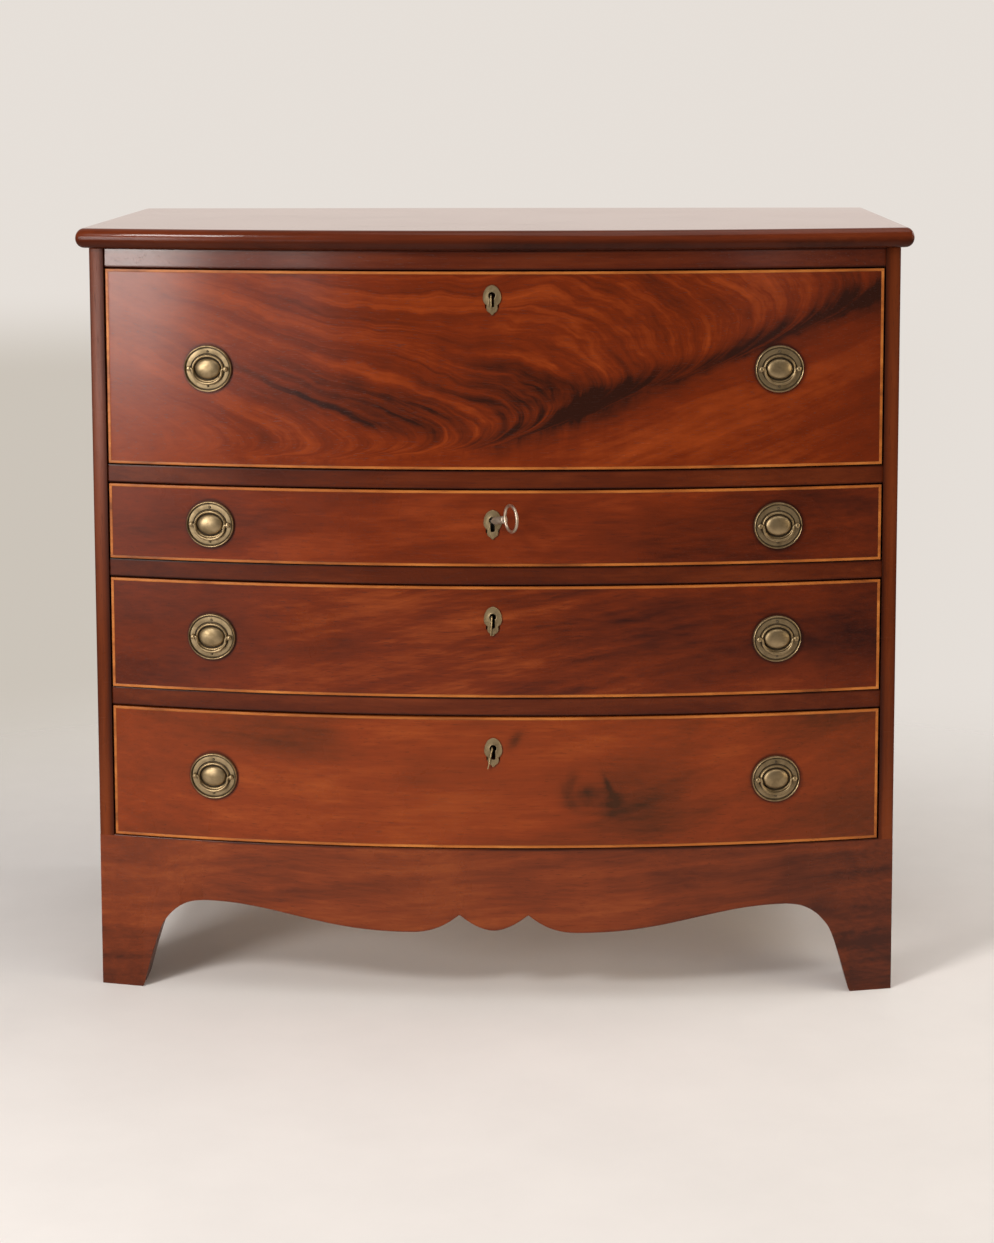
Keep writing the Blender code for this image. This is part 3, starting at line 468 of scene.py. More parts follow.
# metal with dirt in the hollows
def metal(name, look):
    material, tree, shader, coords = startMaterial(name, Metallic=1.0)
    wear = place(tree, wearGroup, {"Vector": coords, "Scale": look["patches"]})
    dirtAndShade = mask(tree, "hollow")
    speck = noiseAt(tree, *[axis * 900.0 for axis in axesOf(tree, coords)])
    shade = (dirtAndShade * look["dirtAndShade"] + (speck - 0.5) * 0.25 * dirtAndShade).clip()
    colour = mixColour(tree, wear["Smear"], look["bright"], look["dull"])
    rough = wear["Smear"] * 0.14 + wear["Scuff"] * 0.10 + shade * 0.35
    endMaterial(tree, shader, {
        "Base Color": mixColour(tree, shade, colour, look["grimeAndShade"]),
        "Metallic": shade * -0.75 + 1.0, "Roughness": rough + look["rough"]}, {
        "Height": speck, "Strength": 0.10, "Distance": 0.0002})
    return material


brass = metal("agedBrass", {
    "bright": (0.380, 0.278, 0.153), "dull": (0.222, 0.158, 0.081),
    "grimeAndShade": (0.022, 0.014, 0.008), "dirtAndShade": 1.0, "rough": 0.35, "patches": 60.0})
keyBrass = metal("keyMetal", {
    "bright": (0.620, 0.490, 0.385), "dull": (0.330, 0.275, 0.195),
    "grimeAndShade": (0.030, 0.022, 0.016), "dirtAndShade": 0.9, "rough": 0.34, "patches": 80.0})
iron = metal("lockIron", {
    "bright": (0.300, 0.290, 0.270), "dull": (0.140, 0.120, 0.100),
    "grimeAndShade": (0.040, 0.022, 0.012), "dirtAndShade": 0.9, "rough": 0.40, "patches": 40.0})
print("materials made:", len(bpy.data.materials))


# pieces
chest = {"bowRise": 0.056, "thick": 0.022, "arris": 0.0010, "bend": 4}
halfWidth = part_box("side_right")[1].x
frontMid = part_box("apron")[0].y
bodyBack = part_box("side_right")[1].y
bowRadius = (halfWidth ** 2 + chest["bowRise"] ** 2) / (2 * chest["bowRise"])
bowCentre = frontMid + bowRadius


def bowY(x, inset=0.0):
    return bowCentre - math.sqrt((bowRadius - inset) ** 2 - x * x)


def addPiece(name, mesh, body, material, stands=(), sharp=32):
    mesh.materials.clear()
    mesh.materials.append(material)
    if sharp:
        smoothed(mesh, sharp)
    piece = hang(name, mesh)
    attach(piece, body)
    if stands:
        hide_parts(*stands)


def smoothed(mesh, sharp):
    mesh.shade_smooth()
    mesh.set_sharp_from_angle(angle=math.radians(sharp))


def asMesh(work):
    mesh = bpy.data.meshes.new("form")
    work.to_mesh(mesh)
    work.free()
    return mesh


def settle(work):
    bmesh.ops.remove_doubles(work, verts=work.verts[:], dist=1e-6)
    bmesh.ops.recalc_face_normals(work, faces=work.faces[:])
    return asMesh(work)


def joined(meshes):
    work = bmesh.new()
    for mesh in meshes:
        work.from_mesh(mesh)
    return asMesh(work)


def moved(mesh, spot, turn=Matrix()):
    mesh.transform(Matrix.Translation(spot) @ turn)
    return mesh


def softened(work, edges, width, segments):
    bmesh.ops.bevel(work, geom=edges, offset=width, segments=segments,
                    affect="EDGES", profile=0.5, clamp_overlap=True)


def blockMesh(low, high, bevel=0.0, segments=2):
    work = bmesh.new()
    bmesh.ops.create_cube(work, size=1.0)
    low, high = Vector(low), Vector(high)
    for vert in work.verts:
        vert.co = [low[i] + (high[i] - low[i]) * (vert.co[i] + 0.5) for i in range(3)]
    if bevel:
        softened(work, work.edges[:], bevel, segments)
    return settle(work)


def roomFor(node, play, below=(0, 0, 0), above=(0, 0, 0)):
    # a block round a fitting, to cut its housing
    low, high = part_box(node)
    play = Vector(play)
    return blockMesh(low - play - Vector(below), high + play + Vector(above))


def taken(holder, *helpers):
    # the finished mesh; the objects it came from are removed
    depsgraph = bpy.context.evaluated_depsgraph_get()
    mesh = bpy.data.meshes.new_from_object(holder.evaluated_get(depsgraph))
    for item in (holder, *helpers):
        bpy.data.objects.remove(item)
    return mesh


def carved(mesh, cutters):
    holder = hang("carving", mesh)
    knives = [hang("knife", cutter) for cutter in cutters]
    for knife in knives:
        modifier = holder.modifiers.new("cut", "BOOLEAN")
        modifier.operation, modifier.solver = "DIFFERENCE", "EXACT"
        modifier.object = knife
    return taken(holder, *knives)


# forms are rings of vertices; each vertex keeps a "hollow" value for dirt, and on the wooden
# boards also for painted shade
def startForm():
    work = bmesh.new()
    return work, work.verts.layers.float.new("hollow")


def addVert(work, layer, spot, hollow):
    vert = work.verts.new(spot)
    vert[layer] = hollow
    return vert


def skin(work, rings, closed=False):
    for ring, after in zip(rings, rings[1:] + (rings[:1] if closed else [])):
        for index, vert in enumerate(ring):
            turn = (index + 1) % len(ring)
            work.faces.new((vert, ring[turn], after[turn], after[index]))
    for ring in () if closed else (rings[0], rings[-1]):
        work.faces.new(ring)


def arc(steps):
    # sine and cosine over a quarter turn
    angles = [quarter * step / steps for step in range(steps + 1)]
    return [(math.sin(angle), math.cos(angle)) for angle in angles]


def turns(count):
    return [math.tau * step / count for step in range(count)]


def boardSection(low, high, face, back, arris, dirtAndShade=(0.0, 0.0)):
    # round a board's cut end: ("in", depth behind the bow, z, dirt and painted shade) or ("at", y,
    # z)
    bend, land = arc(chest["bend"]), 3 * arris
    points = [("in", face + arris * (1 - s), low + arris * (1 - c), dirtAndShade[0]) for s, c in bend]
    points += [("in", face, low + land), ("in", face, high - land)]
    points += [("in", face + arris * (1 - c), high - arris * (1 - s), dirtAndShade[1]) for s, c in bend]
    points += [("in", face + land, high), (*back, high)]
    return points + [(*back, low), ("in", face + land, low)]


def bowStations(first, last, count, endRound):
    ends = []
    if endRound:
        ends = [(endRound * (1 - c), endRound * (1 - s)) for s, c in arc(chest["bend"])[:-1]]
    span = last - first - 2 * endRound
    middle = [(first + endRound + span * step / count, 0.0) for step in range(count + 1)]
    return ([(first + run, depth) for run, depth in ends] + middle
            + [(last - run, depth) for run, depth in reversed(ends)])


def loftOnBow(first, last, section, count=96, endRound=0.0):
    # section may be a list, or a function of x that gives one
    work, layer = startForm()
    rings = []
    for x, depth in bowStations(first, last, count, endRound):
        points = section(x) if callable(section) else section
        face = min(point[1] for point in points if point[0] == "in")
        ring = []
        for kind, value, z, *dirtAndShade in points:
            y = bowY(x, max(value, face + depth)) if kind == "in" else value
            ring.append(addVert(work, layer, (x, y, z), dirtAndShade[0] if dirtAndShade else 0.0))
        rings.append(ring)
    skin(work, rings)
    return settle(work)


# top board with a rounded nose on three sides
topEdge = {"overSide": 0.015, "overFront": 0.014, "run": 0.0095, "corner": 0.0045,
           "flat": 0.004, "steps": 26, "stations": 96, "bend": 4, "polished": 12,
           "polishLoss": 0.25, "noseShadeFrom": 1.2, "grimeAndShade": 1.9, "noseShadeMost": 0.95}
topLow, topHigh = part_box("top_board")
noseRound = (topHigh.z - topLow.z) / 2


def topPlan(inset):
    half = halfWidth + topEdge["overSide"] - inset
    depth, corner = inset - topEdge["overFront"], topEdge["corner"]
    stations = bowStations(-half + corner, half - corner, topEdge["stations"], 0)
    front = [(x, bowY(x, depth)) for x, skip in stations]
    tip = Vector((half, bowY(half, depth)))
    start, end = Vector(front[-1]), tip + Vector((0, corner))
    bend = []
    for step in range(1, topEdge["bend"] + 1):
        share = step / topEdge["bend"]
        bend.append(start * (1 - share) ** 2 + tip * 2 * share * (1 - share) + end * share ** 2)
    left = [(-point.x, point.y) for point in reversed(bend)]
    right = [tuple(point) for point in bend]
    return left + front + right + [(half, topHigh.y), (-half, topHigh.y)]


# polishAndShade per ring: less coat down the rounded nose, and less of it darkens the tone as
# painted shade
levels = [(topEdge["run"] + topEdge["flat"], topHigh.z, 1.0)]
for step in range(topEdge["steps"] + 1):
    angle, loss = math.pi * step / topEdge["steps"], topEdge["polishLoss"]
    levels.append((topEdge["run"] * (1 - math.sin(angle)),
                   topLow.z + noseRound * (1 + math.cos(angle)),
                   max(loss, 1 - step * loss) if step < topEdge["polished"] else 0.0))
work, noseShadeLayer = startForm()
polishShadeLayer = work.verts.layers.float.new("polishAndShade")
rings = []
for inset, height, polishAndShade in levels:
    # painted shade: the lower half of the nose darker, most at its underside
    grimeAndShade = (topLow.z + noseRound * topEdge["noseShadeFrom"] - height) / noseRound * topEdge["grimeAndShade"]
    grimeAndShade = max(0.0, min(topEdge["noseShadeMost"], grimeAndShade))
    rings.append([addVert(work, noseShadeLayer, (x, y, height), grimeAndShade) for x, y in topPlan(inset)])
    for vert in rings[-1]:
        vert[polishShadeLayer] = polishAndShade
skin(work, rings)
addPiece("topBoard", settle(work), "carcass", topWood, ["top_board"])

# sides with an arch between front and rear foot
sideShape = {"foot": 0.070, "rise": 0.108, "square": 0.62, "bevel": 0.0008, "steps": 40,
             "sharpest": 0.8}


def sideMesh(node, sign):
    low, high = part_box(node)
    outer, inner = (high.x, low.x) if sign > 0 else (low.x, high.x)
    first = bowY(halfWidth) + sideShape["foot"]
    last = bodyBack - sideShape["foot"]
    middle, half = (first + last) / 2, (last - first) / 2
    outline = [("front", high.z), ("front", 0.0)]
    for step in range(sideShape["steps"] + 1):
        angle = math.pi * (1 - step / sideShape["steps"])
        run = math.copysign(abs(math.cos(angle)) ** sideShape["square"], math.cos(angle))
        lift = sideShape["rise"] * max(0.0, math.sin(angle)) ** sideShape["square"]
        outline.append((middle + half * run, lift))
    outline += [(bodyBack, 0.0), (bodyBack, high.z)]
    work = bmesh.new()
    skin(work, [[work.verts.new((x, bowY(x) if y == "front" else y, z)) for y, z in outline]
                for x in (outer, inner)])
    bmesh.ops.recalc_face_normals(work, faces=work.faces[:])
    edges = [edge for edge in work.edges if edge.calc_face_angle(0) > sideShape["sharpest"]]
    softened(work, edges, sideShape["bevel"], 3)
    return settle(work)


for side, sign in hands:
    node = "side_" + side
    addPiece("side" + side.title(), sideMesh(node, sign), "carcass", sideWood, [node], 24)

# rails and the slim frieze, set back a little from the fronts
# dirtAndShade darkens the rails' arrises: edge grime and painted shade of the gaps by the fronts
railSet = {"setback": 0.003, "arris": 0.0008, "friezeArris": 0.0011, "dirtAndShade": (0.9, 1.0),
           "boltPlay": (0.0012, 0.0012, 0.0), "boltRoom": (0, 0, 0.010)}


def railMesh(node, arris):
    low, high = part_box(node)
    back = ("at", high.y)
    return loftOnBow(low.x, high.x, boardSection(
        low.z, high.z, railSet["setback"], back, arris, railSet["dirtAndShade"]))


for number in (1, 2, 3):
    mesh = railMesh(f"divider_{number}", railSet["arris"])
    if number == 1:  # room for the second drawer's bolt
        bolt = roomFor("lock_bolt", railSet["boltPlay"], above=railSet["boltRoom"])
        mesh = carved(mesh, [bolt])
    addPiece(f"rail{number}", mesh, "carcass", railWood, [f"divider_{number}"])
mesh = railMesh("frieze_rail", railSet["friezeArris"])
addPiece("friezeRail", mesh, "carcass", friezeWood, ["frieze_rail"])
print("top, sides and rails made")

# shaped apron with splayed bracket feet
# dirtAndShade on the apron: a little grime on the shaped lower edge, grime and painted gap shade
# on the top arris
apronShape = {"footX": 0.437, "splay": 0.028, "knee": 0.086, "crown": 0.1156,
              "shoulder": 0.062, "low": 0.0861, "cuspX": 0.042, "lobeRun": 0.063,
              "cusp": 0.1088, "centre": 0.0892, "thick": 0.022, "block": 0.057, "lap": 0.001,
              "blockTop": 0.1733, "arris": 0.0011, "dirtAndShade": (0.2, 0.9), "stations": 420,
              "blockStations": 40}
apronLow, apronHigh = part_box("apron")


def apronEdge(x):
    shape = apronShape
    x = abs(x)
    high, bottom, cusp = shape["crown"], shape["low"], shape["cusp"]
    knee = shape["footX"] - shape["splay"]
    crown = knee - shape["shoulder"]
    low = shape["cuspX"] + shape["lobeRun"]
    if x >= knee:
        return shape["knee"] * (1 - min(1.0, (x - knee) / shape["splay"]) ** 1.25)
    if x >= crown:
        return high - (high - shape["knee"]) * ((x - crown) / shape["shoulder"]) ** 3
    if x >= low:
        share = ((x - low) / (crown - low)) ** 1.15
        return bottom + (high - bottom) * (1 - math.cos(math.pi * share)) / 2
    if x >= shape["cuspX"]:
        share = 1 - (x - shape["cuspX"]) / shape["lobeRun"]
        return bottom + (cusp - bottom) * share ** 2.4
    return shape["centre"] + (cusp - shape["centre"]) * (x / shape["cuspX"]) ** 1.8


def apronSection(x):
    back = ("in", apronShape["thick"])
    return boardSection(apronEdge(x), apronHigh.z, 0.0, back, apronShape["arris"],
                        apronShape["dirtAndShade"])


def blockSection(x):
    front, back = ("in", apronShape["thick"] - apronShape["lap"]), ("at", apronHigh.y)
    low, high = apronEdge(x), apronShape["blockTop"]
    return [(*front, low), (*front, high), (*back, high), (*back, low)]


forms = [loftOnBow(apronLow.x, apronHigh.x, apronSection, apronShape["stations"])]
for side, sign in hands:
    ends = sorted((sign * apronHigh.x, sign * (apronHigh.x - apronShape["block"])))
    forms.append(loftOnBow(*ends, blockSection, apronShape["blockStations"]))
addPiece("apronBoard", joined(forms), "carcass", apronWood, ["apron"])

# thin facings that thicken the feet
facingSet = {"start": 0.36, "full": 0.42, "proud": 0.0006, "least": 0.00008, "fade": 0.135,
             "sunk": 0.0008, "ease": 0.0002, "head": 0.0015, "headBack": 0.0010}


def facingSection(x):
    s = facingSet
    share = min(1.0, max(0.0, (abs(x) - s["start"]) / (s["full"] - s["start"])))
    proud = s["least"] + (s["proud"] - s["least"]) * share
    low = apronEdge(x) + s["ease"]
    return [("in", s["sunk"], low), ("in", -proud + s["ease"], low),
            ("in", -proud, low + 2 * s["ease"]), ("in", -proud, s["fade"]),
            ("in", -s["least"], apronHigh.z - s["head"]),
            ("in", s["sunk"], apronHigh.z - s["headBack"])]


for side, sign in hands:
    ends = sorted((sign * facingSet["start"], sign * halfWidth))
    addPiece("footFacing" + side.title(), loftOnBow(*ends, facingSection, 60), "carcass",
             apronWood)

# fronts: veneered boards with a keyhole pocket
frontSet = {"pocketWide": 0.0165, "pocketRise": 0.0127, "pocketFall": 0.0100, "pocketOut": 0.01,
            "fallPocket": 0.034, "lip": 0.006, "rebate": 0.003, "stations": 110,
            "casePlay": (0.0004, 0.0004, 0.0004), "caseRoom": (0, 0.03, 0.01),
            "hingePlay": (0.0006, 0.0012, 0.0012), "hingeRoom": (0, 0, 0.02)}
frontNodes = {1: "fall_front", **{number: f"drawer_{number}_front" for number in drawers}}


def pocketMesh(row, depth):
    half, z = frontSet["pocketWide"] / 2, keyholes[row]
    return blockMesh((-half, frontMid - frontSet["pocketOut"], z - frontSet["pocketFall"]),
                     (half, frontMid + depth, z + frontSet["pocketRise"]))


def frontMesh(low, high, section, cutters):
    mesh = loftOnBow(low.x, high.x, section, frontSet["stations"], chest["arris"])
    return carved(mesh, cutters)


for number in drawers:
    low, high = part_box(frontNodes[number])
    section = boardSection(low.z, high.z, 0.0, ("in", chest["thick"]), chest["arris"])
    cutters = [pocketMesh(number, 2 * chest["thick"])]
    if number == 2:
        cutters.append(roomFor("lock_case", frontSet["casePlay"], above=frontSet["caseRoom"]))
    addPiece(f"drawerFront{number}", frontMesh(low, high, section, cutters), rowBody[number],
             veneers[number], [frontNodes[number]])

fallLow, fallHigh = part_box("fall_front")
section = boardSection(fallLow.z, fallHigh.z, 0.0, ("at", fallHigh.y), chest["arris"])
lip, lipHigh = ("in", frontSet["lip"]), fallLow.z + frontSet["rebate"]
section[-2:] = [("at", fallHigh.y, lipHigh), (*lip, lipHigh), (*lip, fallLow.z),
                ("in", 3 * chest["arris"], fallLow.z)]
cutters = [pocketMesh(1, frontSet["fallPocket"])]
for side, sign in hands:
    cutters.append(roomFor("fall_hinge_" + side, frontSet["hingePlay"], frontSet["hingeRoom"]))
addPiece("fallFront", frontMesh(fallLow, fallHigh, section, cutters), "fall", flame,
         ["fall_front"])

# stringing round each front, a hair proud of the veneer
stringSet = {"wide": 0.0032, "proud": 0.00035, "over": 0.00015, "deep": 0.0012,
             "round": 0.0004, "uprightRound": 0.0002, "lap": 0.0002, "sink": 0.00005,
             "dirtAndShade": (0.3, 0.3)}


def stringMesh(node):
    s = stringSet
    low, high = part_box(node)
    wide, over, back = s["wide"], s["over"], ("in", s["deep"])
    strips = []
    for bottom, top in ((low.z - over, low.z + wide), (high.z - wide, high.z + over)):
        section = boardSection(bottom, top, -s["proud"], back, s["round"], s["dirtAndShade"])
        strips.append(loftOnBow(low.x - over, high.x + over, section,
                                frontSet["stations"], s["round"]))
    section = boardSection(low.z + wide - s["lap"], high.z - wide + s["lap"],
                           -s["proud"] + s["sink"], back, s["uprightRound"])
    for first, last in ((low.x - over, low.x + wide), (high.x - wide, high.x + over)):
        strips.append(loftOnBow(first, last, section, 4, s["round"]))
    return joined(strips)


for row, body in rowBody.items():
    addPiece(f"stringing{row}", stringMesh(frontNodes[row]), body, stringWood)
print("fronts and stringing made")


# turned and swept forms
def turnedForm(profile, steps, stretch=None):
    # profile of (radius, height, hollow), turned about the line that points to the front
    work, layer = startForm()
    rings = []
    for radius, height, hollow in profile:
        wide = radius * (stretch(radius) if stretch else 1.0)
        rings.append([addVert(work, layer, (wide * math.cos(angle), -height,
                                            radius * math.sin(angle)), hollow)
                      for angle in turns(steps)[:steps if radius > 0 else 1]])
    for ring, after in zip(rings, rings[1:]):
        for step in range(steps):
            turn = (step + 1) % steps
            quad = [ring[step % len(ring)], ring[turn % len(ring)],
                    after[turn % len(after)], after[step % len(after)]]
            work.faces.new([vert for index, vert in enumerate(quad) if vert not in quad[:index]])
    return settle(work)


def sweptForm(path, radius, sides, closed=False, hollow=0.0):
    # a round wire along a path; radius may be a list
    work, layer = startForm()
    path = [Vector(point) for point in path]
    sizes = radius if isinstance(radius, list) else [radius] * len(path)
    before = [path[-1] if closed else path[0]] + path[:-1]
    beyond = path[1:] + [path[0] if closed else path[-1]]
    normal, rings = None, []
    for point, behind, ahead, thick in zip(path, before, beyond, sizes):
        tangent = (ahead - behind).normalized()
        if normal is None:
            normal = tangent.orthogonal().normalized()
        normal = (normal - tangent * normal.dot(tangent)).normalized()
        side = tangent.cross(normal)
        rings.append([addVert(work, layer, point + (
            normal * math.cos(angle) + side * math.sin(angle)) * thick, hollow)
            for angle in turns(sides)])
    skin(work, rings, closed)
    return settle(work)


# geometry trees: a pair of handles on the bow, and a straight row
def startTree(name, sizes):
    tree = bpy.data.node_groups.new(name, "GeometryNodeTree")
    for way in ("INPUT", "OUTPUT"):
        tree.interface.new_socket("Geometry", in_out=way, socket_type="NodeSocketGeometry")
    for label, kind in sizes.items():
        tree.interface.new_socket(label, in_out="INPUT", socket_type="NodeSocket" + kind)
    return tree, put(tree, "NodeGroupInput").outputs, put(tree, "NodeGroupOutput").inputs


def endTree(tree, given, result, points, turn):
    form = put(tree, "GeometryNodeObjectInfo", {"Object": given["Form"]})
    spread = put(tree, "GeometryNodeInstanceOnPoints", {
        "Points": points, "Instance": form.outputs["Geometry"], "Rotation": turn})
    real = put(tree, "GeometryNodeRealizeInstances", {"Geometry": spread.outputs[0]})
    painted = put(tree, "GeometryNodeSetMaterial", {
        "Geometry": real.outputs[0], "Material": given["Finish"]})
    feed(tree, result["Geometry"], painted.outputs[0])


pairTree, given, result = startTree("pairOnBow", {
    "Form": "Object", "Reach": "Float", "Height": "Float", "Radius": "Float",
    "Centre": "Float", "Seat": "Float", "Finish": "Material"})
reach, radius = [Amount(pairTree, given[label]) for label in ("Reach", "Radius")]
line = put(pairTree, "GeometryNodeMeshLine", {
    "Count": 2, "Start Location": vectorOf(pairTree, -reach, 0.0, given["Height"]),
    "Offset": vectorOf(pairTree, reach * 2.0)})
px, py, pz = axesOf(pairTree, put(pairTree, "GeometryNodeInputPosition").outputs[0])
lean = px.math("DIVIDE", radius).math("ARCSINE")
outer = radius + given["Seat"]
seatX = lean.math("SINE") * outer
seatY = -(lean.math("COSINE") * outer) + given["Centre"]
seated = put(pairTree, "GeometryNodeSetPosition", {
    "Geometry": line.outputs[0], "Position": vectorOf(pairTree, seatX, seatY, pz)})
endTree(pairTree, given, result, seated.outputs[0], vectorOf(pairTree, z=lean))

rowTree, given, result = startTree("rowOf", {
    "Form": "Object", "Count": "Int", "Start": "Vector", "Step": "Vector",
    "Turn": "Vector", "Finish": "Material"})
line = put(rowTree, "GeometryNodeMeshLine", {
    "Count": given["Count"], "Start Location": given["Start"], "Offset": given["Step"]})
endTree(rowTree, given, result, line.outputs[0], given["Turn"])


def grow(tree, form, values):
    source, holder = hang("form", form), hang("grown", bpy.data.meshes.new("grown"))
    modifier = holder.modifiers.new("grow", "NODES")
    modifier.node_group = tree
    values = {"Form": source, **values}
    for socket in tree.interface.items_tree:
        if socket.in_out == "INPUT" and socket.name in values:
            modifier[socket.identifier] = values[socket.name]
    return taken(holder, source)


def rowOf(form, count, start, step, finish, turn=(0, 0, 0)):
    return grow(rowTree, form, {"Count": count, "Start": start, "Step": step, "Turn": turn,
                                "Finish": finish})


# oval brass plates with a boss, a ring moulding and two posts
plateSet = {"wide": 0.0592, "tall": 0.0568, "boss": 0.0124, "bossWide": 1.28, "bossRise": 0.0072,
            "ring": 0.0155, "ringWide": 1.19, "ringRise": 0.0042, "band": 0.0019, "rim": 0.0040,
            "ground": 0.001, "postX": 0.0228, "post": 0.0031, "bore": 0.0019,
            "standoff": 0.0052, "pinOut": 0.0055, "seat": 0.0003}


def plateStretch(radius):
    # the boss is a wide oval, the rim almost round
    s = plateSet
    points = [(0.0, s["bossWide"]), (s["boss"], s["bossWide"]), (s["ring"], s["ringWide"]),
              (s["tall"] / 2, s["wide"] / s["tall"])]
    for (low, start), (high, end) in zip(points, points[1:]):
        if radius <= high:
            return start + (end - start) * (radius - low) / (high - low)
    return points[-1][1]


def bead(middle, half, low, high, dirtAndShade):
    # a half-round moulding as profile points
    angles = [math.pi * step / 8 for step in range(9)]
    return [(middle - half * math.cos(angle), low + (high - low) * math.sin(angle),
             dirtAndShade * abs(math.cos(angle)) ** 3) for angle in angles]


def plateForm():
    s = plateSet
    edge, ring, band, post, ground = s["tall"] / 2, s["ring"], s["band"], s["post"], s["ground"]
    profile = [(0.0, s["bossRise"], 0.10)]
    for step, (sine, cosine) in enumerate(arc(15)[1:-1], 1):
        profile.append((s["boss"] * sine, ground + (s["bossRise"] - ground) * cosine ** 0.8,
                        max(0.10, (step - 13) / 1.5)))
    profile += [(s["boss"] + 0.0002, 0.0008, 1.0), (ring - 0.0021, 0.0008, 1.0)]
    profile += bead(ring, 0.0018, ground, s["ringRise"], 0.10)
    profile += [(ring + 0.0021, ground, 1.0), (ring + 0.0027, ground, 1.0),
                (ring + 0.0033, band, 0.30), (edge - 0.0048, band + 0.0002, 0.20),
                (edge - 0.0037, band, 0.5), (edge - 0.0034, 0.0009, 0.75),
                (edge - 0.0029, 0.0009, 0.75)]
    profile += bead(edge - 0.0013, 0.0013, 0.0014, s["rim"], 0.10)
    profile += [(edge, ground, 0.4), (edge, 0.0, 0.9), (0.0, 0.0, 0.0)]
    forms = [turnedForm(profile, 88, plateStretch)]
    end = s["standoff"] + post * 0.8
    turning = [(post * sine, end - post * 0.55 * (1 - cosine), 0.0) for sine, cosine in arc(6)]
    turning += [(post, 0.0034, 0.1), (post * 0.86, 0.0026, 0.6), (post * 1.08, 0.0016, 0.9),
                (post * 1.08, 0.0004, 1.0), (0.0, 0.0004, 1.0)]
    for side, sign in hands:
        mesh = moved(turnedForm(turning, 20), (sign * s["postX"], 0, 0))
        ends = sorted((sign * (s["postX"] - 2 * post), sign * (s["postX"] + post * 0.55)))
        bore = sweptForm([(x, -s["standoff"], 0) for x in ends], s["bore"], 14)
        forms.append(carved(mesh, [bore]))
    pin = [(0.0, 0.0034, 0.4), (0.0011, 0.0032, 0.8), (0.0016, 0.0024, 1.0),
           (0.0016, ground, 1.0), (0.0, ground, 1.0)]
    for side, sign in hands:  # small pins at the head and foot of the moulding
        forms.append(moved(turnedForm(pin, 14), (0, 0, sign * (ring + s["pinOut"]))))
    mesh = joined(forms)
    smoothed(mesh, 50)
    return mesh


plateMesh = plateForm()
for row, height in handleRows.items():
    mesh = grow(pairTree, plateMesh, {
        "Reach": handleReach, "Height": height, "Radius": bowRadius,
        "Centre": bowCentre, "Seat": plateSet["seat"], "Finish": brass})
    addPiece(f"handlePlates{row}", mesh, rowBody[row], brass,
             [f"plate_{row}_left", f"plate_{row}_right"], 0)

# hanging bails
bailSet = {"wire": 0.00145, "thick": 0.00175, "span": 0.018, "drop": 0.0178, "bend": 0.0035,
           "play": 0.0003, "steps": 36, "dirtAndShade": 0.10}


def bailMesh(sign, height):
    s, postX, post = bailSet, plateSet["postX"], plateSet["post"]
    ear = postX - post - s["play"]
    knuckle = s["span"] + (ear - s["span"]) * 0.3
    half = [(-postX - post * 0.3, 0.0), (-ear, 0.0),
            (-(ear * 0.5 + knuckle * 0.5), -s["bend"] * 0.06), (-knuckle, -s["bend"] * 0.35)]
    path = [(x, 0, z) for x, z in half]
    for step in range(s["steps"] + 1):
        angle = math.pi * step / s["steps"]
        drop = s["bend"] + (s["drop"] - s["bend"]) * math.sin(angle)
        path.append((-s["span"] * math.cos(angle), 0, -drop))
    path += [(-x, 0, z) for x, z in reversed(half)]
    last = len(path) - 1
    sizes = [s["wire"] + (s["thick"] - s["wire"]) * math.sin(math.pi * index / last) ** 2
             for index in range(last + 1)]
    lean = math.asin(sign * handleReach / bowRadius)
    out = bowRadius + plateSet["seat"] + plateSet["standoff"]
    pivot = (math.sin(lean) * out, bowCentre - math.cos(lean) * out, height)
    return moved(sweptForm(path, sizes, 14, hollow=s["dirtAndShade"]), pivot,
                 Matrix.Rotation(lean, 4, "Z"))


for row, height in handleRows.items():
    for side, sign in hands:
        name = f"bail_{row}_{side}"
        addPiece(f"bail{row}{side.title()}", bailMesh(sign, height), name, brass, [name], 50)

# keyhole plates; in three of them a loose pin hangs
scutcheon = {"wide": 0.022, "tall": 0.036, "thick": 0.0018, "bevel": 0.0006, "hole": 0.0040,
             "slot": 0.0050, "drop": 0.0140, "lift": 0.0055, "steps": 96, "seat": 0.0003,
             "rise": 0.0020, "under": 0.0101, "scallop": 0.008, "lobes": 14,
             "lobe": 0.0070, "lobeDrop": 0.0092, "tip": 0.0022}
pinSet = {"radius": 0.0010, "taper": 0.85, "hangX": -0.0012, "out": -0.0014,
          "drops": {1: (0.0002, -0.0085), 3: (-0.0012, -0.0172), 4: (-0.0052, -0.0196)}}


def scutcheonEdge(angle, shrink):
    s = scutcheon
    run, rise = math.sin(angle), math.cos(angle)
    reach = 0.0
    for half in (s["tall"] / 2 - s["rise"], s["under"]):  # upper and lower half of the oval
        a = (run / (s["wide"] / 2)) ** 2 + (rise / half) ** 2
        b = rise * s["rise"] / half ** 2
        out = (b + math.sqrt(b * b - a * ((s["rise"] / half) ** 2 - 1))) / a
        if (out * rise >= s["rise"]) == (half != s["under"]):
            reach = out
    for radius, drop in ((s["lobe"], s["lobeDrop"]), (s["tip"], s["tall"] / 2 - s["tip"])):
        if rise < 0 and abs(drop * run) < radius:
            reach = max(reach, -drop * rise + math.sqrt(radius ** 2 - (drop * run) ** 2))
    reach *= 1 + s["scallop"] * (math.cos(s["lobes"] * angle) - 1)
    return run * (reach - shrink), rise * (reach - shrink)


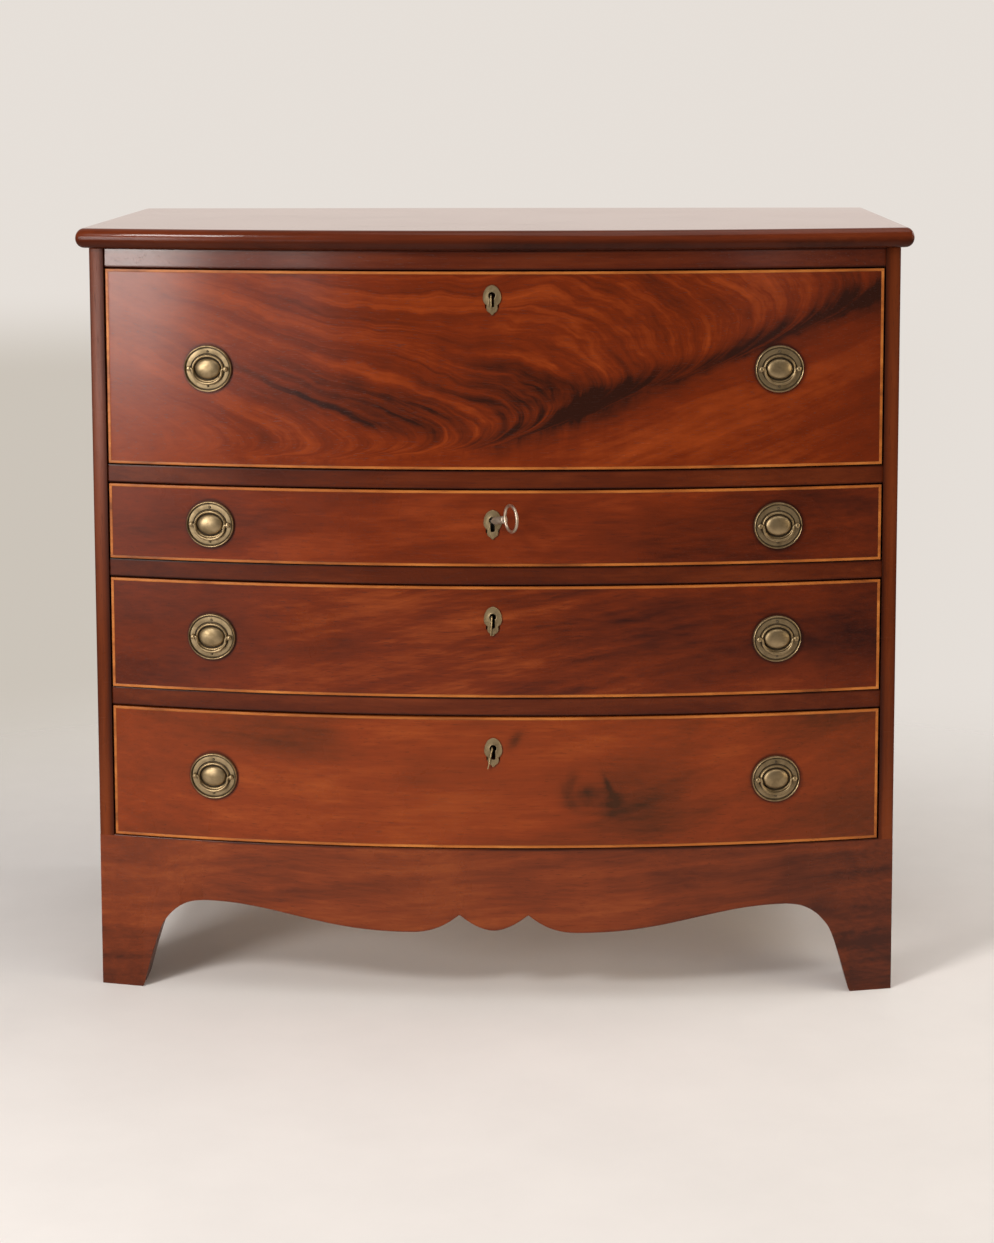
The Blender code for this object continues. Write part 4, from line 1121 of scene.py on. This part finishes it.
def keyholeEdge(angle, widen):
    s = scutcheon
    across, up = math.sin(angle), math.cos(angle)
    reach = s["hole"]
    if up < 0:
        reach = max(reach, min(s["slot"] / 2 / max(1e-6, abs(across)), s["drop"] / -up))
    reach += widen
    return across * reach, up * reach + s["lift"]


def scutcheonMesh(row):
    s, face, thick = scutcheon, frontMid - scutcheon["seat"], scutcheon["thick"]
    work, layer = startForm()
    levels = [(scutcheonEdge, 0.0, 0.0, 0.9), (scutcheonEdge, 0.0, thick - s["bevel"], 0.3),
              (scutcheonEdge, s["bevel"], thick, 0.0), (scutcheonEdge, 0.0017, thick, 0.18),
              (keyholeEdge, 0.0013, thick + 0.0001, 0.32),
              (keyholeEdge, 0.0007, thick + 0.0004, 0.20),
              (keyholeEdge, 0.0, thick + 0.0002, 0.7), (keyholeEdge, 0.0, 0.0, 1.0)]
    rings = []
    for edge, change, height, hollow in levels:
        points = [edge(angle, change) for angle in turns(s["steps"])]
        rings.append([addVert(work, layer, (x, face - height, keyholes[row] + z), hollow)
                      for x, z in points])
    skin(work, rings, True)
    forms = [settle(work)]
    if row in pinSet["drops"]:
        out, z = face - thick, keyholes[row] + s["lift"]
        endX, endZ = pinSet["drops"][row]
        path = [(-0.0010, out + 0.0030, z + 0.0004), (-0.0011, out - 0.0006, z),
                (pinSet["hangX"], out + pinSet["out"], z - 0.0012),
                (endX + pinSet["hangX"], out + pinSet["out"], keyholes[row] + endZ)]
        radius = pinSet["radius"]
        forms.append(sweptForm(path, [radius] * 3 + [radius * pinSet["taper"]], 12))
    return joined(forms)


for row, body in rowBody.items():
    addPiece(f"keyholePlate{row}", scutcheonMesh(row), body, brass, [f"escutcheon_{row}"], 40)

# key with an oval ring bow
keySet = {"shank": 0.0023, "barrel": 0.0046, "neck": 0.0056, "out": 0.0315477, "lift": 0.0045,
          "ringAlong": 0.0145, "ringHigh": 0.0157, "wire": 0.0019, "tip": -0.0125,
          "tilt": -12.2, "swing": 30.5, "bit": 0.0075, "bitLong": 0.0045, "bitThick": 0.0024}
keyPlace = Vector((0.0, frontMid - scutcheon["seat"] - scutcheon["thick"] / 2,
                   keyholes[2] + keySet["lift"]))
shank, barrel, out, tip = [keySet[label] for label in ("shank", "barrel", "out", "tip")]
bow = [(0, -out - keySet["ringAlong"] * (1 - math.cos(angle)),
        keySet["ringHigh"] * math.sin(angle)) for angle in turns(64)]
end, waist = out * 0.96, barrel * 0.93
stem = [(0.0, out + 0.0006, 0.3), (shank, out + 0.0004, 0.5), (shank, end + 0.0008, 0.6),
        (barrel * 0.8, end + 0.0003, 0.3), (barrel, end - 0.0010, 0.40),
        (barrel, end - 0.0040, 0.40), (waist, end - 0.0046, 0.5), (waist, end - 0.0060, 0.5),
        (barrel, end - 0.0066, 0.40), (barrel * 0.97, keySet["neck"], 0.45),
        (barrel * 0.62, 0.0024, 0.7), (shank, 0.0014, 0.8), (shank, tip + 0.0006, 0.2),
        (shank - 0.0006, tip, 0.2), (0.0, tip, 0.2)]
bit = blockMesh((-keySet["bitThick"] / 2, -tip - keySet["bitLong"], -keySet["bit"]),
                (keySet["bitThick"] / 2, -tip - 0.0003, 0.0), 0.0003)
mesh = joined([sweptForm(bow, keySet["wire"], 16, True), turnedForm(stem, 28), bit])
mesh = moved(mesh, keyPlace, spin(keySet["swing"], "Z") @ spin(keySet["tilt"], "X"))
addPiece("lockKey", mesh, "key", keyBrass, ["key"], 40)
print("handles, keyhole plates and key made")

# back of vertical boards, nailed
backSet = {"boards": 5, "gap": 0.0012, "bevel": 0.0014, "nail": 0.0035, "nailRise": 0.0009,
           "nails": 10, "inset": 0.014, "rows": (0.367, 0.528, 0.644)}
low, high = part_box("back_panel")
boardWide, inset = (high.x - low.x) / backSet["boards"], backSet["inset"]
form = blockMesh((0, low.y, low.z), (boardWide - backSet["gap"], high.y, high.z),
                 backSet["bevel"])
mesh = rowOf(form, backSet["boards"], (low.x + backSet["gap"] / 2, 0, 0), (boardWide, 0, 0),
             backPine)
addPiece("backBoards", mesh, "carcass", backPine, ["back_panel"], 30)
nail, rise = backSet["nail"], backSet["nailRise"]
form = turnedForm([(0.0, rise, 0.0), (nail * 0.7, rise * 0.8, 0.2), (nail, 0.0, 0.8),
                   (0.0, -0.0005, 1.0)], 10)
step = (high.x - low.x - 2 * inset) / (backSet["nails"] - 1)
rows = [rowOf(form, backSet["nails"], (low.x + inset, high.y, height), (step, 0, 0), iron,
              (0, 0, math.pi))
        for height in (low.z + inset, *backSet["rows"], high.z - inset)]
addPiece("backNails", joined(rows), "carcass", iron, (), 40)

# boxwood beads on the front edges of the pigeonhole case
caseSet = {"wall": 0.008, "board": 0.006, "holeLow": 0.7535, "holeHigh": 0.8695,
           "holeStep": 0.1274, "holes": 7, "bayEdge": 0.1499, "bayHigh": 0.7475}
caseLow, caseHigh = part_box("pigeonhole_case")


def beadBar(start, end, radius, y=caseLow.y):
    return sweptForm([(x, y, z) for x, z in (start, end)], radius, 12)


slim, stout = caseSet["board"] / 2, caseSet["wall"] / 2
edge, outer, wide = caseSet["bayEdge"], caseHigh.x - stout, caseHigh.x
upright = beadBar((0, caseSet["holeLow"]), (0, caseSet["holeHigh"]), slim, 0)
bars = [rowOf(upright, caseSet["holes"] - 1, (-caseSet["holeStep"] * 2.5, caseLow.y, 0),
              (caseSet["holeStep"], 0, 0), stringWood)]
for height, radius in ((caseHigh.z - stout, stout), (caseSet["bayHigh"] + slim, slim),
                       (caseLow.z + stout, stout)):
    bars.append(beadBar((-wide, height), (wide, height), radius))
for side, sign in hands:
    bars.append(beadBar((sign * outer, caseLow.z), (sign * outer, caseHigh.z), stout))
    bars.append(beadBar((sign * edge, caseLow.z + stout), (sign * edge, caseSet["bayHigh"]), slim))
addPiece("caseBeads", joined(bars), "desk_drawer", stringWood, (), 40)

# two small drawers with a line of stringing and a turned knob
smallSet = {"front": 0.012, "wall": 0.006, "drop": 0.005, "line": 0.0016, "lineIn": 0.006,
            "proud": 0.0003, "sunk": 0.0006, "knob": 0.006, "bevel": 0.0007, "lap": 0.001,
            "backDrop": 0.003, "floorBevel": 0.0003}
knobTurning = ((0.0, 1.0, 0.0), (0.55, 0.985, 0.0), (0.85, 0.93, 0.0), (1.0, 0.82, 0.0),
               (0.95, 0.70, 0.05), (0.70, 0.56, 0.2), (0.45, 0.45, 0.5), (0.42, 0.25, 0.6),
               (0.60, 0.14, 0.7), (0.85, 0.08, 0.5), (0.85, 0.0, 0.9), (0.0, 0.0, 0.0))


def frameStrips(x0, x1, z0, z1, near, far, wide):
    # a rectangle of thin strips on a face that looks to the front
    spans = [(x0, z0, x1, z0 + wide), (x0, z1 - wide, x1, z1),
             (x0, z0 + wide, x0 + wide, z1 - wide), (x1 - wide, z0 + wide, x1, z1 - wide)]
    return joined([blockMesh((a, near, b), (c, far, d), 0.0001, 1) for a, b, c, d in spans])


face = caseLow.y
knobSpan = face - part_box("small_drawer_left")[0].y
knobProfile = [(smallSet["knob"] * reach, knobSpan * height, dirtAndShade)
               for reach, height, dirtAndShade in knobTurning]
for side, sign in hands:
    name, label = "small_drawer_" + side, side.title()
    low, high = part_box(name)
    t, lap, b, gap = [smallSet[key] for key in ("wall", "lap", "bevel", "lineIn")]
    inner, top = face + smallSet["front"], high.z - smallSet["drop"]
    left, right = low.x + t - lap, high.x - t + lap
    boards = [
        blockMesh((low.x, face, low.z), (high.x, inner, high.z), b),
        blockMesh((low.x, inner - lap, low.z), (low.x + t, high.y, top), b),
        blockMesh((high.x - t, inner - lap, low.z), (high.x, high.y, top), b),
        blockMesh((left, high.y - t, low.z + t), (right, high.y, top - smallSet["backDrop"]), b),
        blockMesh((left, inner - lap, low.z + lap), (right, high.y, low.z + t),
                  smallSet["floorBevel"])]
    addPiece("smallDrawer" + label, joined(boards), name, insideWood, [name])
    mesh = frameStrips(low.x + gap, high.x - gap, low.z + gap, high.z - gap,
                       face - smallSet["proud"], face + smallSet["sunk"], smallSet["line"])
    addPiece("smallLine" + label, mesh, name, stringWood)
    middle = ((low.x + high.x) / 2, face, (low.z + high.z) / 2)
    addPiece("smallKnob" + label, moved(turnedForm(knobProfile, 28), middle), name, brass, (), 40)

# inside of the fall: a line of stringing, and hinge leaves with screws
fallSet = {"lineIn": 0.050, "line": 0.003, "proud": 0.0003, "sunk": 0.0006, "leafHigh": 0.026,
           "leafThick": 0.0008, "leafSunk": 0.001, "leafFoot": 0.0015, "leafBevel": 0.0003,
           "screw": 0.0026, "screwIn": 0.009, "screwUp": 0.6, "screws": 3}
gap, back = fallSet["lineIn"], fallHigh.y
mesh = frameStrips(fallLow.x + gap, fallHigh.x - gap, fallLow.z + gap, fallHigh.z - gap / 2,
                   back - fallSet["sunk"], back + fallSet["proud"], fallSet["line"])
addPiece("fallLine", mesh, "fall", stringWood)
screw, margin = fallSet["screw"], fallSet["screwIn"]
form = turnedForm([(0.0, 0.0, 0.9), (0.0005, 0.0001, 0.9), (screw * 0.6, 0.0005, 0.2),
                   (screw, 0.0003, 0.3), (screw, -0.0003, 1.0), (0.0, -0.0004, 1.0)], 12)
leaves = []
for side, sign in hands:
    low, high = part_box("fall_hinge_" + side)
    foot, out = high.z + fallSet["leafFoot"], back + fallSet["leafThick"]
    leaves.append(blockMesh((low.x, back - fallSet["leafSunk"], foot),
                            (high.x, out, foot + fallSet["leafHigh"]), fallSet["leafBevel"]))
    start = (low.x + margin, out, foot + fallSet["leafHigh"] * fallSet["screwUp"])
    step = ((high.x - low.x - 2 * margin) / (fallSet["screws"] - 1), 0, 0)
    leaves.append(rowOf(form, fallSet["screws"], start, step, brass, (0, 0, math.pi)))
addPiece("fallLeaves", joined(leaves), "fall", brass, (), 40)

# dovetails where the long drawers' sides meet their fronts
tailSet = {"deep": 0.014, "neck": 0.0075, "flare": 0.0115, "proud": 0.0002, "sunk": 0.0006,
           "counts": {2: 3, 3: 4, 4: 5}}


def tailForm(sign):
    neck, flare, front = tailSet["neck"], tailSet["flare"], -tailSet["deep"]
    corners = [(0.0, -neck), (front, -flare), (front, flare), (0.0, neck)]
    work = bmesh.new()
    skin(work, [[work.verts.new((x, y, z)) for y, z in corners]
                for x in (sign * tailSet["proud"], -sign * tailSet["sunk"])])
    return settle(work)


for number, count in tailSet["counts"].items():
    low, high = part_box(f"drawer_{number}_front")
    sideLow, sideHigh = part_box(f"drawer_{number}_left")
    step = (sideHigh.z - low.z) / count
    rows = []
    for side, sign in hands:
        start = (sign * high.x, bowY(high.x, chest["thick"]), low.z + step / 2)
        rows.append(rowOf(tailForm(sign), count, start, (0, 0, step), drawerPine))
    addPiece(f"dovetails{number}", joined(rows), rowBody[number], drawerPine, (), 30)
print("back, desk fittings and dovetails made")


# carried-over nodes
def dress(material, *names):
    for name in names:
        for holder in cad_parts[name].material_slots:
            holder.material = material


for number in drawers:
    dress(drawerPine, *[f"drawer_{number}_{part}" for part in ("left", "right", "back", "bottom")])
dress(insideWood, "desk_side_left", "desk_side_right", "desk_floor", "pigeonhole_case")
dress(drawerPine, "desk_back", "bottom_board")
dress(brass, "fall_hinge_left", "fall_hinge_right", "stay_left", "stay_right", "lock_bolt")
dress(iron, "lock_case")

# studio: pale floor, soft light
stageLook = {"floor": (0.870, 0.830, 0.805), "floorDim": 0.95, "floorSize": 2.8, "ahead": 0.45,
             "wall": (0.790, 0.740, 0.690), "wallLeft": (0.600, 0.550, 0.485),
             "dim": (0.100, 0.088, 0.080), "shine": (0.770, 0.660, 0.600),
             "fill": 0.25, "fillTint": (0.98, 0.96, 0.93), "lampTint": (1.0, 0.975, 0.94)}
bpy.ops.mesh.primitive_circle_add(vertices=96, radius=stageLook["floorSize"], fill_type="NGON")
floor = bpy.context.object
floor.name = "floor"
material, tree, shader, coords = startMaterial(
    "paleFloor", Roughness=0.85, Specular_IOR_Level=0.1)
fx, fy, fz = axesOf(tree, coords)
mottle = noiseAt(tree, fx * 5.0, fy * 5.0, fz, 5.0, 0.6).fade(0.2, 0.8)
dim = tuple(stageLook["floorDim"] * part for part in stageLook["floor"])
feed(tree, shader.inputs["Base Color"], mixColour(tree, mottle, dim, stageLook["floor"]))
away = lengthOf(fx, fy + stageLook["ahead"])
feed(tree, shader.inputs["Alpha"], away.fade(0.95, 2.1, 1.0, 0.0))
floor.data.materials.append(material)

world = bpy.data.worlds.new("studio")
scene.world = world
world.use_nodes = True
tree = world.node_tree
backdrop = tree.nodes["Background"]
ray = put(tree, "ShaderNodeLightPath").outputs
rx, ry, rz = axesOf(tree, put(tree, "ShaderNodeTexCoord").outputs["Generated"])
glossy = Amount(tree, ray["Is Glossy Ray"]).floor(ray["Is Transmission Ray"])
room = mixColour(tree, ry.fade(-0.35, 0.45), stageLook["dim"], stageLook["shine"])
soft = mixColour(tree, stageLook["fill"], (0.0, 0.0, 0.0), stageLook["fillTint"])
shaded = rx.fade(0.20, -0.22) * rz.fade(-0.08, -0.115) * rz.fade(-0.34, -0.29)
shaded = shaded * ry.fade(0.80, 0.92)
wall = mixColour(tree, shaded, stageLook["wall"], stageLook["wallLeft"])
seen = mixColour(tree, ray["Is Camera Ray"], mixColour(tree, glossy, soft, room), wall)
feed(tree, backdrop.inputs["Color"], seen)
backdrop.inputs["Strength"].default_value = 1.0

lamps = {
    "window": dict(place=(-2.40, -2.9, 1.05), aim=(0, 0, 0.60), size=(1.0, 1.3), power=76.0),
    "pane": dict(place=(-1.15, -2.95, 0.80), aim=(0, 0, 0.70), size=(0.25, 0.7), power=2.5),
    "keyLight": dict(place=(-1.9, -2.6, 2.75), aim=(0, 0, 0.50), size=(0.7, 0.7), power=52.0),
    "fillRight": dict(place=(1.45, -2.95, 0.90), aim=(0, 0, 0.70), size=(0.3, 0.6), power=0.8),
    "sideRight": dict(place=(2.2, 0.3, 1.6), aim=(0.9, -0.2, 0.0), size=(0.9, 0.9), power=15.0),
    "cardRight": dict(place=(2.8, -1.1, 0.9), aim=(0.3, -0.2, 0.6), size=(1.3, 1.3), power=17.0,
                      tint=(1.0, 0.86, 0.62)),
    "behind": dict(place=(0.0, 1.7, 0.55), aim=(0, -0.15, 0.0), size=(2.2, 0.7), power=7.0),
    "overhead": dict(place=(0.7, -0.9, 3.2), aim=(0.1, -0.3, 0.3), size=(2.4, 2.0), power=24.0),
}
for name, look in lamps.items():
    data = bpy.data.lights.new(name, "AREA")
    data.shape = "RECTANGLE"
    data.size, data.size_y = look["size"]
    data.energy = look["power"]
    data.color = look.get("tint", stageLook["lampTint"])
    lamp = hang(name, data)
    lamp.location = look["place"]
    aim = Vector(look["aim"]) - Vector(look["place"])
    lamp.rotation_euler = aim.to_track_quat("-Z", "Y").to_euler()
print("studio made")
